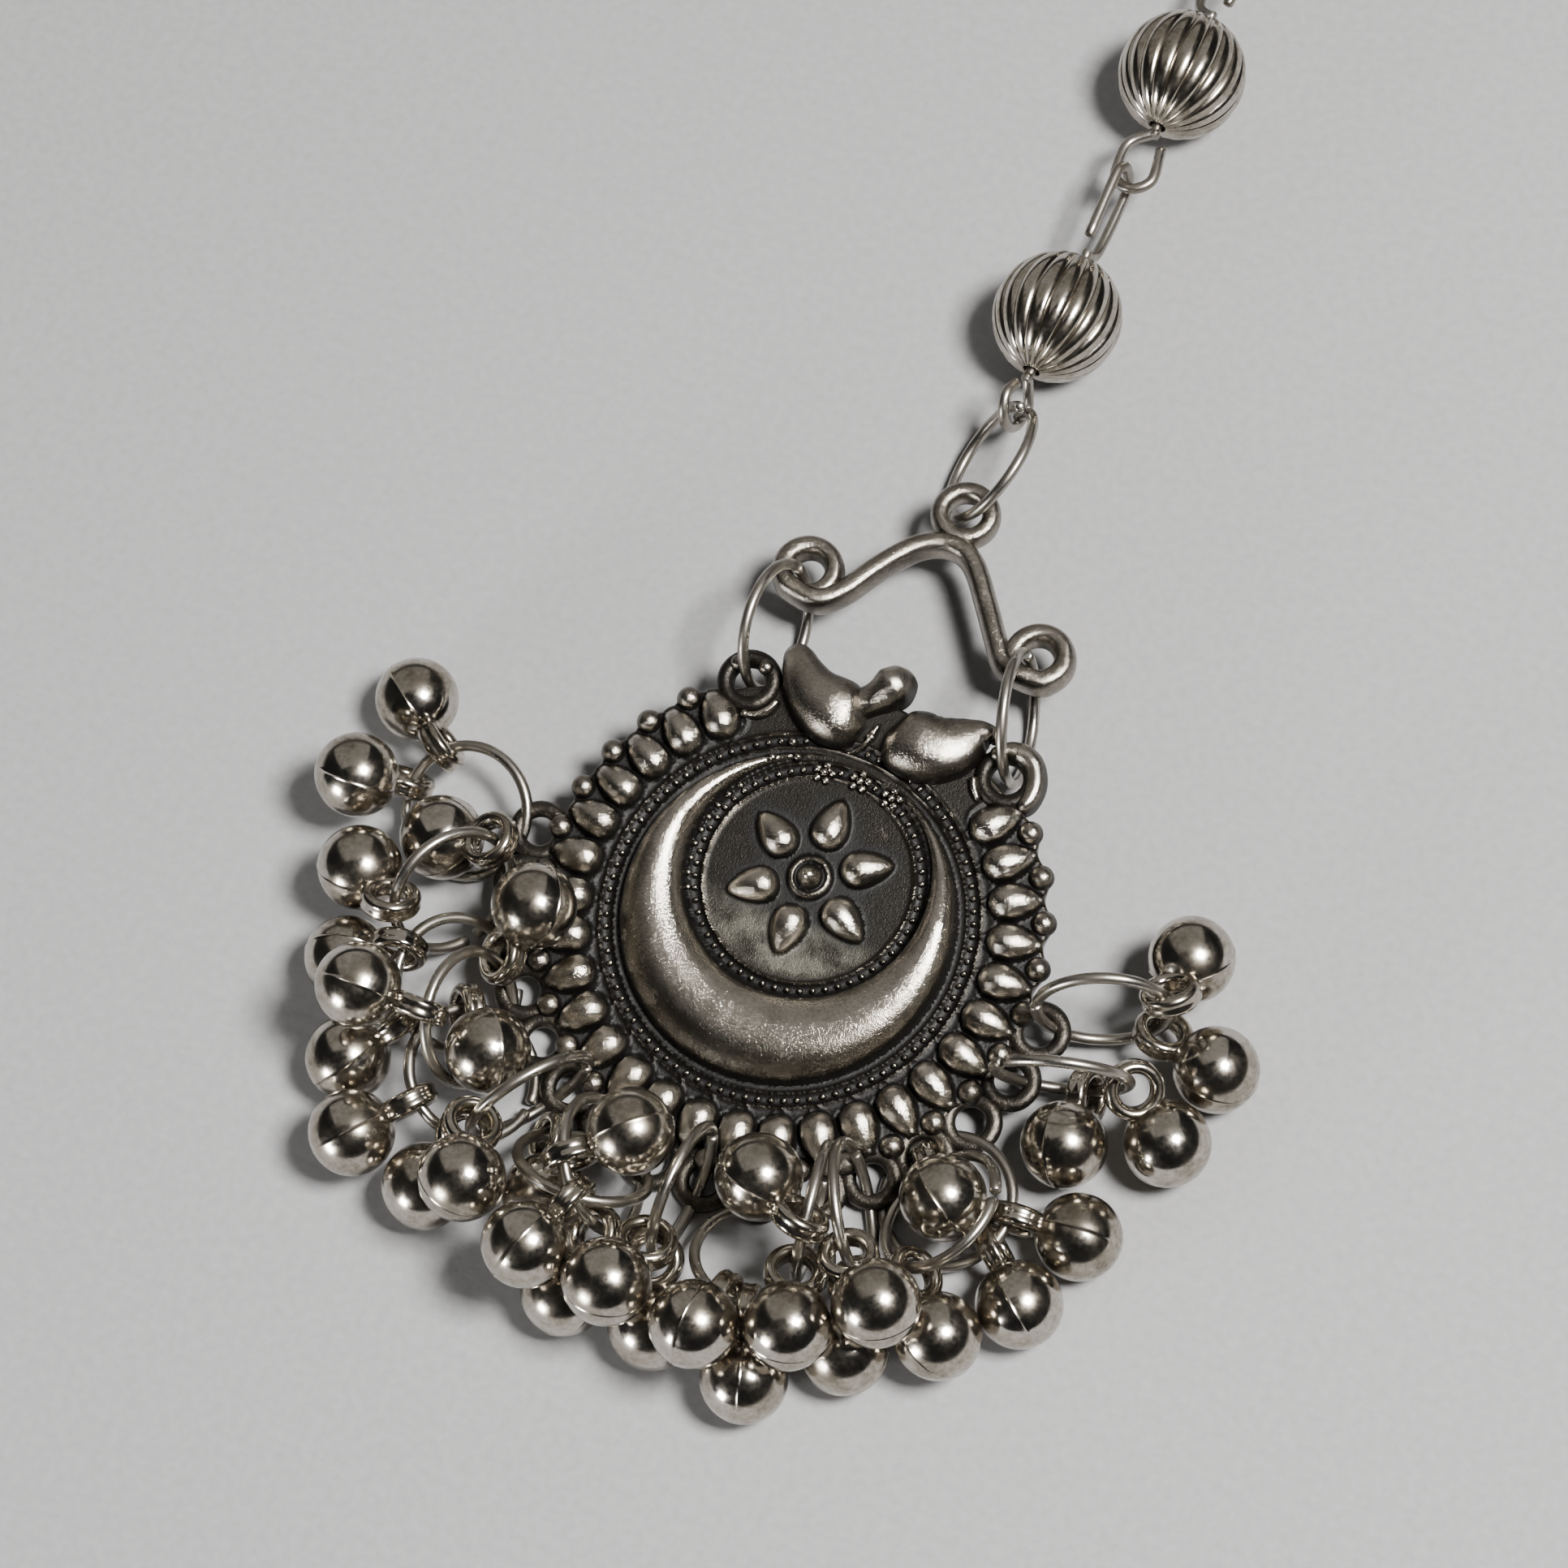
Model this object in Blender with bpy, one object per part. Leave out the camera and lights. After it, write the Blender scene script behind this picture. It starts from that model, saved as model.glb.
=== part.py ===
"""Maang tikka of oxidised silver: a cast medallion with a fringe of small bells, lying flat.

Metres, +Z up. +X runs across the medallion and +Y from the bells to the hair hook.
Shapes are worked out in millimetres and scaled once, when a mesh or a place is made.
"""
import math

import bmesh
import bpy
from mathutils import Matrix, Vector

MM = 0.001
FLAT_WITHIN = 1.0               # degrees: faces this nearly flat are joined after a weld

# Medallion: a cast disc, its hook side raised a little by the bells beneath it
MEDALLION_TILT = 8.0            # degrees about X
MEDALLION_HEIGHT = 3.2          # top face's centre above the surface
PLATE_RADIUS = 15.4
SCALLOP = 0.45                  # how far the rim swells between the ovals
CROWN_RADIUS = 14.6             # behind the comma shapes
PLATE_THICK = 1.0
RIM_DRAFT = 0.15                # how far the rim leans in towards its top
PAD_RADIUS = 10.0               # flat backing disc
PAD_PROUD = 0.25
SUNK = 0.25                     # how deep raised work reaches into the plate

OVALS = 27
OVAL_RING = 13.6
OVAL_FIRST = 47.0               # degrees, then clockwise
OVAL_LAST = -228.0
OVAL_SIZE = (3.0, 1.95, 1.1)    # length outwards, width, height

CORD_RING = (0.0, 0.0, 11.15)   # raised rings: x, y, radius
INNER_CORD_RING = (0.1, 2.65, 6.9)
CORD_HALF = 0.32
CORD_RISE = 0.35

CRESCENT_OUTER = (-0.1, 0.0, 10.2)
CRESCENT_INNER = (0.0, 2.8, 7.65)
CRESCENT_HORNS = (62.0, -242.0)     # degrees round the outer circle, horn to horn
CRESCENT_RISE = 1.9

FLOWER_CENTRE = (0.15, 2.8)
PETALS = 6
PETAL_REACH = 3.5
PETAL_SIZE = (3.1, 2.0, 0.9)
BOSS = (3.0, 3.0, 0.6)
BOSS_BALL = (1.5, 1.5, 1.2)
STARS = ((-1.6, 9.1), (0.65, 9.4), (2.85, 9.1))
STAR_SIZE = (1.5, 1.5, 0.45)

# The pair of comma shapes at the top: x, y, half width, rise
COMMAS = (
    (
        (-0.7, 12.9, 1.0, 0.7),
        (-1.5, 12.8, 1.85, 1.6),
        (-2.6, 12.85, 2.05, 1.9),
        (-3.9, 13.3, 1.75, 1.8),
        (-5.2, 14.2, 1.2, 1.4),
        (-6.0, 15.2, 0.75, 1.1),
        (-6.5, 16.1, 0.35, 0.7),
    ),
    (
        (1.0, 12.85, 1.0, 0.7),
        (1.8, 12.75, 1.8, 1.6),
        (3.0, 12.7, 2.05, 1.9),
        (4.3, 12.95, 1.85, 1.8),
        (5.3, 13.7, 1.3, 1.4),
        (6.0, 14.6, 0.7, 1.0),
        (6.9, 15.2, 0.35, 0.6),
    ),
)
KNOB = (0.5, 15.6)
KNOB_SIZE = (2.5, 2.5, 1.6)
KNOB_NECK = ((-1.2, 13.8, 0.5), (-0.4, 14.6, 0.5), (0.5, 15.6, 0.5))
NECK_HALF = 0.65
SHOULDERS = ((-8.3, 12.8), (8.8, 12.85))
SHOULDER_MID = 1.5              # radius of the loop's middle line
SHOULDER_HALF = (0.65, 0.8)     # half width and half depth, to the corners
SHOULDER_LEVEL = -0.3           # below the top face

# Eyelets round the lower rim, each with one jump ring
EYELETS = 16
EYELET_RING = 16.6
EYELET_FIRST = -2.6             # degrees, then clockwise
EYELET_STEP = -11.7
EYELET_MID = 1.4
EYELET_WIRE = 0.42
EYELET_LEVEL = -0.45            # below the top face
RING_RADIUS = 4.0
RING_WIRE = 0.35
RING_GAP = 10.0                 # degrees left open where the wire was cut
RING_SEAT = 0.95                # from an eyelet's middle to the wire that it holds

# Bells
BALL_RADIUS = 2.6
BELL_LOOP_MID = 1.5
BELL_LOOP_WIRE = 0.42
BALL_TO_LOOP = 3.87
BALL_TO_WIRE = 4.3

# How each jump ring lies, from the right-hand end of the fringe to the left, in whole degrees.
# Ring: heading and rise of the line from its eyelet across it, and its roll about that line.
# Each bell: its place round the ring, then heading and rise of the line from the wire to the ball.
FRINGE = (
    # ring           right or upper bell   other bell
    ((28, 42, 81), (263, -12, -2), (202, 90, -32)),
    ((5, 54, 104), (303, -88, 18), (236, -31, -32)),
    ((-83, -5, 13), (120, -44, 12), (92, 5, 5)),
    ((-53, 33, 27), (224, -45, -4), (8, -56, 45)),
    ((-83, 57, 114), (251, -80, -12), (202, -38, 19)),
    ((-69, 68, 78), (186, 155, -13), (230, -71, 20)),
    ((-62, 26, 172), (146, -97, 47), (168, -72, -19)),
    ((-93, 75, 92), (234, -103, 24), (261, -68, -17)),
    ((-126, 59, 155), (251, -98, -20), (176, 41, 14)),
    ((-84, 49, 175), (49, -68, 12), (192, -107, 14)),
    ((-114, 66, 78), (250, -109, -16), (222, -71, 18)),
    ((-125, 22, 162), (72, -39, 26), (183, -128, 0)),
    ((-114, 42, 128), (42, 72, 35), (160, -175, 13)),
    ((-113, 15, 147), (115, -159, -27), (178, -127, -17)),
    ((-137, 36, 122), (56, -173, -27), (190, 153, -23)),
    ((-176, -7, 155), (126, 141, -9), (169, -143, 46)),
)

# Hanger
HANGER_LEVEL = 4.0
ARM_HALF = (0.8, 1.0)           # half width and half depth, to the corners
ARCH = (                        # x, y of the arch's middle line, left end to right end
    (-8.2, 19.5),
    (-6.9, 19.6),
    (-5.6, 20.8),
    (-4.3, 23.1),
    (-2.6, 25.3),
    (-0.7, 26.1),
    (1.0, 25.5),
    (2.9, 23.2),
    (4.4, 21.2),
    (5.6, 19.85),
    (7.2, 19.4),
)
END_LOOPS = ((-8.25, 21.25), (7.25, 21.15))
TOP_LOOP = (-0.75, 28.35)
LOOP_MID = 1.6
LOOP_HALF = (0.74, 0.95)

# Rings between the hanger and the shoulders: middle, end towards the hanger, lean from upright
SHOULDER_RINGS = {
    "shoulder_ring_left": ((-8.45, 16.85, 4.3), (0.0, 7.9, -0.6), -15.0),
    "shoulder_ring_right": ((7.72, 16.88, 4.35), (-1.75, 7.9, -0.6), -9.0),
}

# Chain
LINK_MIDDLE = (-0.85, 32.2, 4.0)
LINK_LEAN = 33.0
LINK_TURN = 395.0               # degrees of wire, so that its ends overlap
LINK_PITCH = 0.9                # sideways step over that turn
BEADS = {"1": (-1.0, 43.3), "2": (-0.5, 62.5)}
BEAD_RADIUS = 4.1
BEAD_HALF = 4.2
BEAD_RIBS = 20
BEAD_GROOVE = 0.3
BEAD_BORE = 0.65
CHAIN_WIRE = 0.35
EYES = {                        # lower eye then upper eye: length, half width, lean from upright
    "1": ((3.95, 1.5, -18.0), (7.2, 1.3, -12.0)),
    "2": ((4.8, 1.3, 80.0), (6.9, 1.3, 60.0)),
}

# Hair hook, a plain wire hook
HOOK_WIRE = 0.5
HOOK_EYE = 1.45
HOOK_SHANK = 9.0
HOOK_BEND = 2.65
HOOK_POINT = 6.5

OXIDISED = ("oxidised_silver", (0.33, 0.31, 0.28), 0.42)
BRIGHT = ("bright_nickel", (0.62, 0.59, 0.54), 0.18)
WIRE = ("silver_wire", (0.55, 0.54, 0.52), 0.28)


def clear_scene():
    for old in list(bpy.data.objects):
        bpy.data.objects.remove(old, do_unlink=True)


def material(name, look):
    base, colour, rough = look
    made = bpy.data.materials.new(name + "_" + base)
    made.use_nodes = True
    shader = made.node_tree.nodes["Principled BSDF"]
    shader.inputs["Base Color"].default_value = (*colour, 1.0)
    shader.inputs["Roughness"].default_value = rough
    shader.inputs["Metallic"].default_value = 1.0
    return made


# ---------------------------------------------------------------- shapes, in millimetres

def skin(loops, closed=False):
    """Closed solid through loops of points; its ends are capped unless the loops form a ring."""
    bm = bmesh.new()
    rows = [[bm.verts.new(point) for point in loop] for loop in loops]
    count = len(rows[0])
    pairs = list(zip(rows, rows[1:]))
    if closed:
        pairs.append((rows[-1], rows[0]))
    for low, high in pairs:
        for i in range(count):
            j = (i + 1) % count
            bm.faces.new((low[i], low[j], high[j], high[i]))
    if not closed:
        bm.faces.new(reversed(rows[0]))
        bm.faces.new(rows[-1])
    bmesh.ops.recalc_face_normals(bm, faces=bm.faces)
    return bm


def tube(points, half_width, half_depth, sides, closed=False, side_way=(0.0, 0.0, 1.0)):
    """Bar along points: half_depth is measured along side_way, which starts square to the path."""
    points = [Vector(point) for point in points]
    last = len(points) - 1
    depth_way = Vector(side_way)
    loops = []
    for i, point in enumerate(points):
        before = points[i - 1] if i or closed else point
        after = points[(i + 1) % len(points)] if i < last or closed else point
        along = (after - before).normalized()
        depth_way = (depth_way - depth_way.dot(along) * along).normalized()
        width_way = depth_way.cross(along)
        turns = [2 * math.pi * (n + 0.5) / sides for n in range(sides)]
        loops.append([point + width_way * half_width * math.cos(t) + depth_way * half_depth * math.sin(t)
                      for t in turns])
    return skin(loops, closed)


def polar(radius, degrees):
    return Vector((radius * math.cos(math.radians(degrees)), radius * math.sin(math.radians(degrees)), 0.0))


def arc(centre, radius, start, end, steps, level=0.0):
    """Points round an arc, both ends included."""
    middle = Vector((centre[0], centre[1], level))
    return [middle + polar(radius, start + (end - start) * n / steps) for n in range(steps + 1)]


def loop_bar(centre, mid, half, steps, sides, level):
    """Closed ring lying flat."""
    return tube(arc(centre, mid, 0, 360, steps, level)[:-1], half[0], half[1], sides, closed=True)


def dome(centre, size, heading=0.0, sides=6, shoulder=0.72):
    """Low oval mound on the plate: length along heading, width and height."""
    length, width, height = size
    turns = [2 * math.pi * n / sides for n in range(sides)]
    bm = skin([[Vector((length / 2 * share * math.cos(t), width / 2 * share * math.sin(t), level)) for t in turns]
               for level, share in ((-SUNK, 1.0), (0.7 * height, shoulder))])
    cap = max(bm.faces, key=lambda face: face.calc_center_median().z)
    peak = bmesh.ops.poke(bm, faces=[cap])["verts"][0]
    peak.co.z = height
    bm.transform(Matrix.Translation((centre[0], centre[1], 0)) @ Matrix.Rotation(math.radians(heading), 4, "Z"))
    return bm


def disc(radius, low, high, sides):
    return skin([[polar(radius, 360 * n / sides) + Vector((0, 0, level)) for n in range(sides)]
                 for level in (low, high)])


def rim_disc():
    """The cast plate, whose rim swells outwards between each two ovals."""
    step = (OVAL_LAST - OVAL_FIRST) / (OVALS - 1)
    headings = [OVAL_FIRST + step * n / 2 for n in range(2 * OVALS - 1)]
    left = 360 + OVAL_LAST - OVAL_FIRST
    rim = [(PLATE_RADIUS + SCALLOP * (n % 2), heading) for n, heading in enumerate(headings)]
    rim += [(CROWN_RADIUS, OVAL_LAST - left * n / 5) for n in range(1, 5)]
    return skin([[polar(radius - inset, heading) + Vector((0, 0, level)) for radius, heading in rim]
                 for level, inset in ((-PLATE_THICK, 0.0), (0.0, RIM_DRAFT))])


def ridge_ring(ring, steps):
    """Low triangular ridge round a circle, for a ring of beading."""
    x, y, radius = ring
    loops = []
    for n in range(steps):
        for_out = polar(1.0, 360 * n / steps)
        middle = Vector((x, y, 0))
        loops.append([middle + for_out * (radius - CORD_HALF) + Vector((0, 0, -SUNK)),
                      middle + for_out * radius + Vector((0, 0, CORD_RISE)),
                      middle + for_out * (radius + CORD_HALF) + Vector((0, 0, -SUNK))])
    return skin(loops, closed=True)


def crescent():
    """Puffed crescent: arched sections between two circles that nearly meet at the horns."""
    steps = 14
    start, end = CRESCENT_HORNS
    outer_middle = Vector((*CRESCENT_OUTER[:2], 0))
    inner_middle = Vector((*CRESCENT_INNER[:2], 0))
    loops = []
    for n in range(steps + 1):
        turn = start + (end - start) * n / steps
        outer = outer_middle + polar(CRESCENT_OUTER[2], turn)
        inner = inner_middle + (outer - inner_middle).normalized() * CRESCENT_INNER[2]
        width = (outer - inner).length
        rise = min(CRESCENT_RISE, 0.75 * width)
        up = Vector((0, 0, 1))
        loops.append([outer - up * SUNK,
                      outer + up * 0.1,
                      outer.lerp(inner, 0.2) + up * 0.75 * rise,
                      outer.lerp(inner, 0.5) + up * rise,
                      outer.lerp(inner, 0.8) + up * 0.75 * rise,
                      inner + up * 0.1,
                      inner - up * SUNK])
    return skin(loops)


def comma(table):
    """Comma shape along its rows, head first."""
    loops = []
    rows = [Vector((x, y, 0)) for x, y, half, rise in table]
    for n, (x, y, half, rise) in enumerate(table):
        along = (rows[min(n + 1, len(rows) - 1)] - rows[max(n - 1, 0)]).normalized()
        across = Vector((-along.y, along.x, 0))
        up = Vector((0, 0, 1))
        loops.append([rows[n] + across * half - up * SUNK,
                      rows[n] + across * half * 0.95 + up * rise * 0.35,
                      rows[n] + across * half * 0.45 + up * rise * 0.9,
                      rows[n] - across * half * 0.45 + up * rise * 0.9,
                      rows[n] - across * half * 0.95 + up * rise * 0.35,
                      rows[n] - across * half - up * SUNK])
    return skin(loops)


def ball(radius, centre=(0, 0, 0)):
    bm = bmesh.new()
    bmesh.ops.create_icosphere(bm, subdivisions=2, radius=radius, matrix=Matrix.Translation(centre))
    return bm


# ---------------------------------------------------------------- objects

def to_mesh(name, bm):
    bm.transform(Matrix.Scale(MM, 4))
    mesh = bpy.data.meshes.new(name)
    bm.to_mesh(mesh)
    bm.free()
    mesh.shade_smooth()
    mesh.set_sharp_from_angle(angle=math.radians(40))
    return mesh


def add_object(name, mesh, look, matrix=None):
    made = bpy.data.objects.new(name, mesh)
    bpy.context.scene.collection.objects.link(made)
    if matrix is not None:
        made.matrix_world = matrix
    if not mesh.materials:
        mesh.materials.append(material(name, look))
    return made


def welded(name, shapes):
    """Mesh of several overlapping shapes made into one body."""
    body = bpy.data.objects.new(name, to_mesh(name, shapes[0]))
    bpy.context.scene.collection.objects.link(body)
    others = bpy.data.collections.new(name + "_parts")
    for n, shape in enumerate(shapes[1:]):
        others.objects.link(bpy.data.objects.new("%s_part_%d" % (name, n), to_mesh(name, shape)))
    weld = body.modifiers.new("weld", "BOOLEAN")
    weld.operation = "UNION"
    weld.operand_type = "COLLECTION"
    weld.collection = others
    weld.solver = "EXACT"
    view = bpy.context.evaluated_depsgraph_get()
    mesh = bpy.data.meshes.new_from_object(body.evaluated_get(view))
    mesh.name = name
    mesh.materials.clear()
    flat = bmesh.new()
    flat.from_mesh(mesh)
    bmesh.ops.dissolve_limit(flat, angle_limit=math.radians(FLAT_WITHIN), verts=flat.verts, edges=flat.edges)
    flat.to_mesh(mesh)
    flat.free()
    for used in [body, *others.objects]:
        bpy.data.objects.remove(used, do_unlink=True)
    bpy.data.collections.remove(others)
    return mesh


def frame_matrix(x_way, y_way, z_way, place):
    """Placement in metres from three unit axes and a place in millimetres."""
    matrix = Matrix((x_way, y_way, z_way)).transposed().to_4x4()
    matrix.translation = Vector(place) * MM
    return matrix


def heading_rise(heading, rise):
    heading, rise = math.radians(heading), math.radians(rise)
    return Vector((math.cos(rise) * math.cos(heading), math.cos(rise) * math.sin(heading), math.sin(rise)))


# ---------------------------------------------------------------- medallion and fringe

TILT = Matrix.Rotation(math.radians(MEDALLION_TILT), 3, "X")
LIFT = Vector((0, 0, MEDALLION_HEIGHT))


def on_medallion(x, y, level=0.0):
    return TILT @ Vector((x, y, level)) + LIFT


class JumpRing:
    """Where one jump ring and its two bells lie."""

    def __init__(self, number):
        (heading, rise, roll), *self.bells = FRINGE[number]
        eyelet = polar(EYELET_RING, EYELET_FIRST + EYELET_STEP * number)
        eyelet = on_medallion(eyelet.x, eyelet.y, EYELET_LEVEL)
        self.across = heading_rise(heading, rise)
        level_way = Vector((0, 0, 1)).cross(self.across).normalized()
        rise_way = self.across.cross(level_way)
        roll = math.radians(roll)
        self.side = math.cos(roll) * level_way + math.sin(roll) * rise_way
        plate_up = TILT @ Vector((0, 0, 1))
        seat_way = (self.across - self.across.dot(plate_up) * plate_up).normalized()
        self.middle = eyelet + RING_SEAT * seat_way + RING_RADIUS * self.across

    def wire_at(self, place):
        """Point of the wire's middle line, and its direction there; place 0 is in the eyelet."""
        place = math.radians(place)
        point = self.middle + RING_RADIUS * (math.sin(place) * self.side - math.cos(place) * self.across)
        return point, math.sin(place) * self.across + math.cos(place) * self.side

    def wire(self, steps, sides):
        """The ring, its cut turned away from the bells."""
        pull = sum((Matrix.Rotation(math.radians(place), 2) @ Vector((1, 0)) for place, _, _ in self.bells),
                   Vector((0, 0)))
        cut = math.degrees(math.atan2(pull.y, pull.x)) + 180
        turn = 360 - RING_GAP
        places = [cut + RING_GAP / 2 + turn * n / steps for n in range(steps + 1)]
        points = [self.wire_at(place)[0] for place in places]
        return tube(points, RING_WIRE, RING_WIRE, sides, side_way=self.across.cross(self.side))

    def bell_matrix(self, which):
        """A bell's origin is its ball's centre, its +Z runs to its loop, and +Y goes through the loop."""
        place, heading, rise = self.bells[which]
        wire, along = self.wire_at(place)
        drop = heading_rise(heading, rise)
        through = (along - along.dot(drop) * drop).normalized()
        return frame_matrix(through.cross(-drop), through, -drop, wire + BALL_TO_WIRE * drop)


RINGS = [JumpRing(number) for number in range(EYELETS)]


def medallion():
    """Cast plate with its relief, loops and eyelets, and the jump rings closed on the eyelets."""
    plate = rim_disc()
    relief = [disc(PAD_RADIUS, -PLATE_THICK - PAD_PROUD, -PLATE_THICK / 2, 18)]
    for n in range(OVALS):
        heading = OVAL_FIRST + (OVAL_LAST - OVAL_FIRST) * n / (OVALS - 1)
        relief.append(dome(polar(OVAL_RING, heading), OVAL_SIZE, heading))
    relief.append(ridge_ring(CORD_RING, 18))
    relief.append(ridge_ring(INNER_CORD_RING, 12))
    relief.append(crescent())
    for n in range(PETALS):
        heading = 30 + 360 * n / PETALS
        centre = Vector((*FLOWER_CENTRE, 0)) + polar(PETAL_REACH, heading)
        relief.append(dome(centre, PETAL_SIZE, heading, sides=6, shoulder=0.5))
    relief.append(dome(FLOWER_CENTRE, BOSS, sides=8))
    relief.append(dome(FLOWER_CENTRE, BOSS_BALL, sides=6))
    for star in STARS:
        relief.append(dome(star, STAR_SIZE, 90, sides=5, shoulder=0.4))
    relief += [comma(table) for table in COMMAS]
    relief.append(dome(KNOB, KNOB_SIZE, sides=8))
    relief.append(tube(KNOB_NECK, NECK_HALF, NECK_HALF, 6))
    for centre in SHOULDERS:
        relief.append(loop_bar(centre, SHOULDER_MID, SHOULDER_HALF, 9, 4, SHOULDER_LEVEL))
    for number in range(EYELETS):
        centre = polar(EYELET_RING, EYELET_FIRST + EYELET_STEP * number)
        relief.append(loop_bar(centre, EYELET_MID, (EYELET_WIRE, EYELET_WIRE), 6, 4, EYELET_LEVEL))
    to_world = Matrix.Translation(LIFT) @ TILT.to_4x4()
    for shape in [plate, *relief]:
        shape.transform(to_world)
    wires = [ring.wire(10, 4) for ring in RINGS]
    add_object("medallion", welded("medallion", [plate, *relief, *wires]), OXIDISED)


def bells():
    loop = tube([Vector((p.x, 0, p.y + BALL_TO_LOOP)) for p in arc((0, 0), BELL_LOOP_MID, 30, 390, 6)[:-1]],
                BELL_LOOP_WIRE, BELL_LOOP_WIRE, 4, closed=True, side_way=(0, 1, 0))
    mesh = welded("bell", [ball(BALL_RADIUS), loop])
    for number in range(2 * EYELETS):
        ring = RINGS[number // 2]
        add_object("bell_%02d" % (number + 1), mesh, BRIGHT, ring.bell_matrix(number % 2))


# ---------------------------------------------------------------- hanger and chain

def smooth(points, between):
    """Points on a smooth curve through the given ones."""
    points = [Vector((*point, 0.0)[:3]) for point in points]
    ends = [2 * points[0] - points[1], *points, 2 * points[-1] - points[-2]]
    path = [points[0]]
    for a, b, c, d in zip(ends, ends[1:], ends[2:], ends[3:]):
        for n in range(1, between + 1):
            t = n / between
            path.append(0.5 * (2 * b + (c - a) * t + (2 * a - 5 * b + 4 * c - d) * t * t
                               + (3 * b - a - 3 * c + d) * t ** 3))
    return path


def hanger():
    arch = [point + Vector((0, 0, HANGER_LEVEL)) for point in smooth(ARCH, 1)]
    shapes = [tube(arch, ARM_HALF[0], ARM_HALF[1], 6)]
    for centre in (*END_LOOPS, TOP_LOOP):
        shapes.append(loop_bar(centre, LOOP_MID, LOOP_HALF, 10, 4, HANGER_LEVEL))
    add_object("hanger", welded("hanger", shapes), OXIDISED)


def leaning(along, lean):
    """Unit direction square to along, turned from upright towards +X by lean degrees."""
    lean = math.radians(lean)
    up = Vector((math.sin(lean), 0, math.cos(lean)))
    return (up - up.dot(along) * along).normalized()


def shoulder_rings():
    for name, (middle, along, lean) in SHOULDER_RINGS.items():
        along = Vector(along).normalized()
        up = leaning(along, lean)
        turns = [math.radians(25 + (360 - RING_GAP) * n / 14) for n in range(15)]
        points = [Vector(middle) + RING_RADIUS * (math.cos(t) * along + math.sin(t) * up) for t in turns]
        wire = tube(points, RING_WIRE, RING_WIRE, 5, side_way=along.cross(up))
        add_object(name, to_mesh(name, wire), WIRE)


def chain_link():
    """Ring whose wire overlaps itself, so it steps sideways once round."""
    along = Vector((0, 1, 0))
    up = leaning(along, LINK_LEAN)
    across = along.cross(up)
    points = []
    for n in range(16):
        share = n / 15
        turn = math.radians(30 - LINK_TURN * share)
        points.append(Vector(LINK_MIDDLE) + RING_RADIUS * (math.cos(turn) * along + math.sin(turn) * up)
                      + LINK_PITCH * (share - 0.5) * across)
    add_object("chain_link", to_mesh("chain_link", tube(points, CHAIN_WIRE, CHAIN_WIRE, 5,
                                                        side_way=across)), WIRE)


def eye_points(length, half, lean, way):
    """Middle line of a wire eye, from the bead's end out and round to its cut end; way is 1 or -1."""
    side = leaning(Vector((0, 1, 0)), lean)
    far = length - half
    points = [(0.0, 0.0), (0.45, 0.0), (min(1.6, far), -half)]
    if far > 2.4:
        points.append((far, -half))
    points += [(far + half * math.sin(t), -half * math.cos(t)) for t in (math.pi * n / 5 for n in range(1, 5))]
    points.append((far, half))
    points.append((min(1.5, far - 0.7), 0.95))
    return [Vector((0, way * along, 0)) + side * sideways for along, sideways in points]


def melon_bead(number):
    """Ribbed bead on its own eyed wire, resting on the surface."""
    x, y = BEADS[number]
    place = Matrix.Translation(Vector((x, y, BEAD_RADIUS)) * MM)
    rows = [(-BEAD_HALF, BEAD_BORE, 0.0)]
    for share in (-0.66, 0.0, 0.66):
        rows.append((share * BEAD_HALF, BEAD_RADIUS * math.sqrt(1 - share * share), BEAD_GROOVE))
    rows.append((BEAD_HALF, BEAD_BORE, 0.0))
    loops = []
    for along, radius, groove in rows:
        loops.append([Vector((0, along, 0)) + (radius - groove * (n % 2))
                      * Vector((math.cos(t), 0, math.sin(t)))
                      for n, t in enumerate(math.pi * n / BEAD_RIBS for n in range(2 * BEAD_RIBS))])
    bead = skin(loops, closed=True)
    name = "melon_bead_" + number
    add_object(name, to_mesh(name, bead), BRIGHT, place)

    lower, upper = EYES[number]
    out_low = [Vector((0, -BEAD_HALF, 0)) + point for point in eye_points(*lower, -1)]
    out_high = [Vector((0, BEAD_HALF, 0)) + point for point in eye_points(*upper, 1)]
    path = [*reversed(out_low), *out_high]
    name = "bead_wire_" + number
    wire = tube(path, CHAIN_WIRE, CHAIN_WIRE, 5, side_way=leaning(Vector((0, 1, 0)), lower[2] + 90))
    add_object(name, to_mesh(name, wire), WIRE, place)


def hair_hook():
    """Plain hook: an upright eye on the last bead's wire, and a flat bend that rests on the surface."""
    x, y = BEADS["2"]
    eye_end = BEAD_HALF + EYES["2"][1][0]
    start = Vector((x, y + eye_end - CHAIN_WIRE - HOOK_WIRE - 0.25 + HOOK_EYE, BEAD_RADIUS))
    eye = [Vector((0, -HOOK_EYE * math.cos(t), HOOK_EYE * math.sin(t)))
           for t in (math.radians(140 - 270 * n / 9) for n in range(10))]
    drop = BEAD_RADIUS - HOOK_WIRE
    run = HOOK_SHANK + HOOK_EYE
    slope = Vector((0, run, -drop)).normalized()
    shank = [Vector((0, HOOK_EYE + 0.9, -0.3)), Vector((0, HOOK_EYE, 0)) + slope * HOOK_SHANK]
    bend_middle = shank[-1] + Vector((HOOK_BEND, 0, 0))
    bend = [bend_middle + HOOK_BEND * (-math.cos(t) * Vector((1, 0, 0)) + math.sin(t) * slope)
            for t in (math.pi * n / 7 for n in range(1, 8))]
    point = [bend[-1] - slope * HOOK_POINT * 0.7, bend[-1] - slope * HOOK_POINT + Vector((0.8, 0, 0))]
    path = [start + p for p in (*eye, *shank, *bend, *point)]
    wire = tube(path, HOOK_WIRE, HOOK_WIRE, 6, side_way=(1, 0, 0))
    add_object("hair_hook", to_mesh("hair_hook", wire), WIRE)


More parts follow.
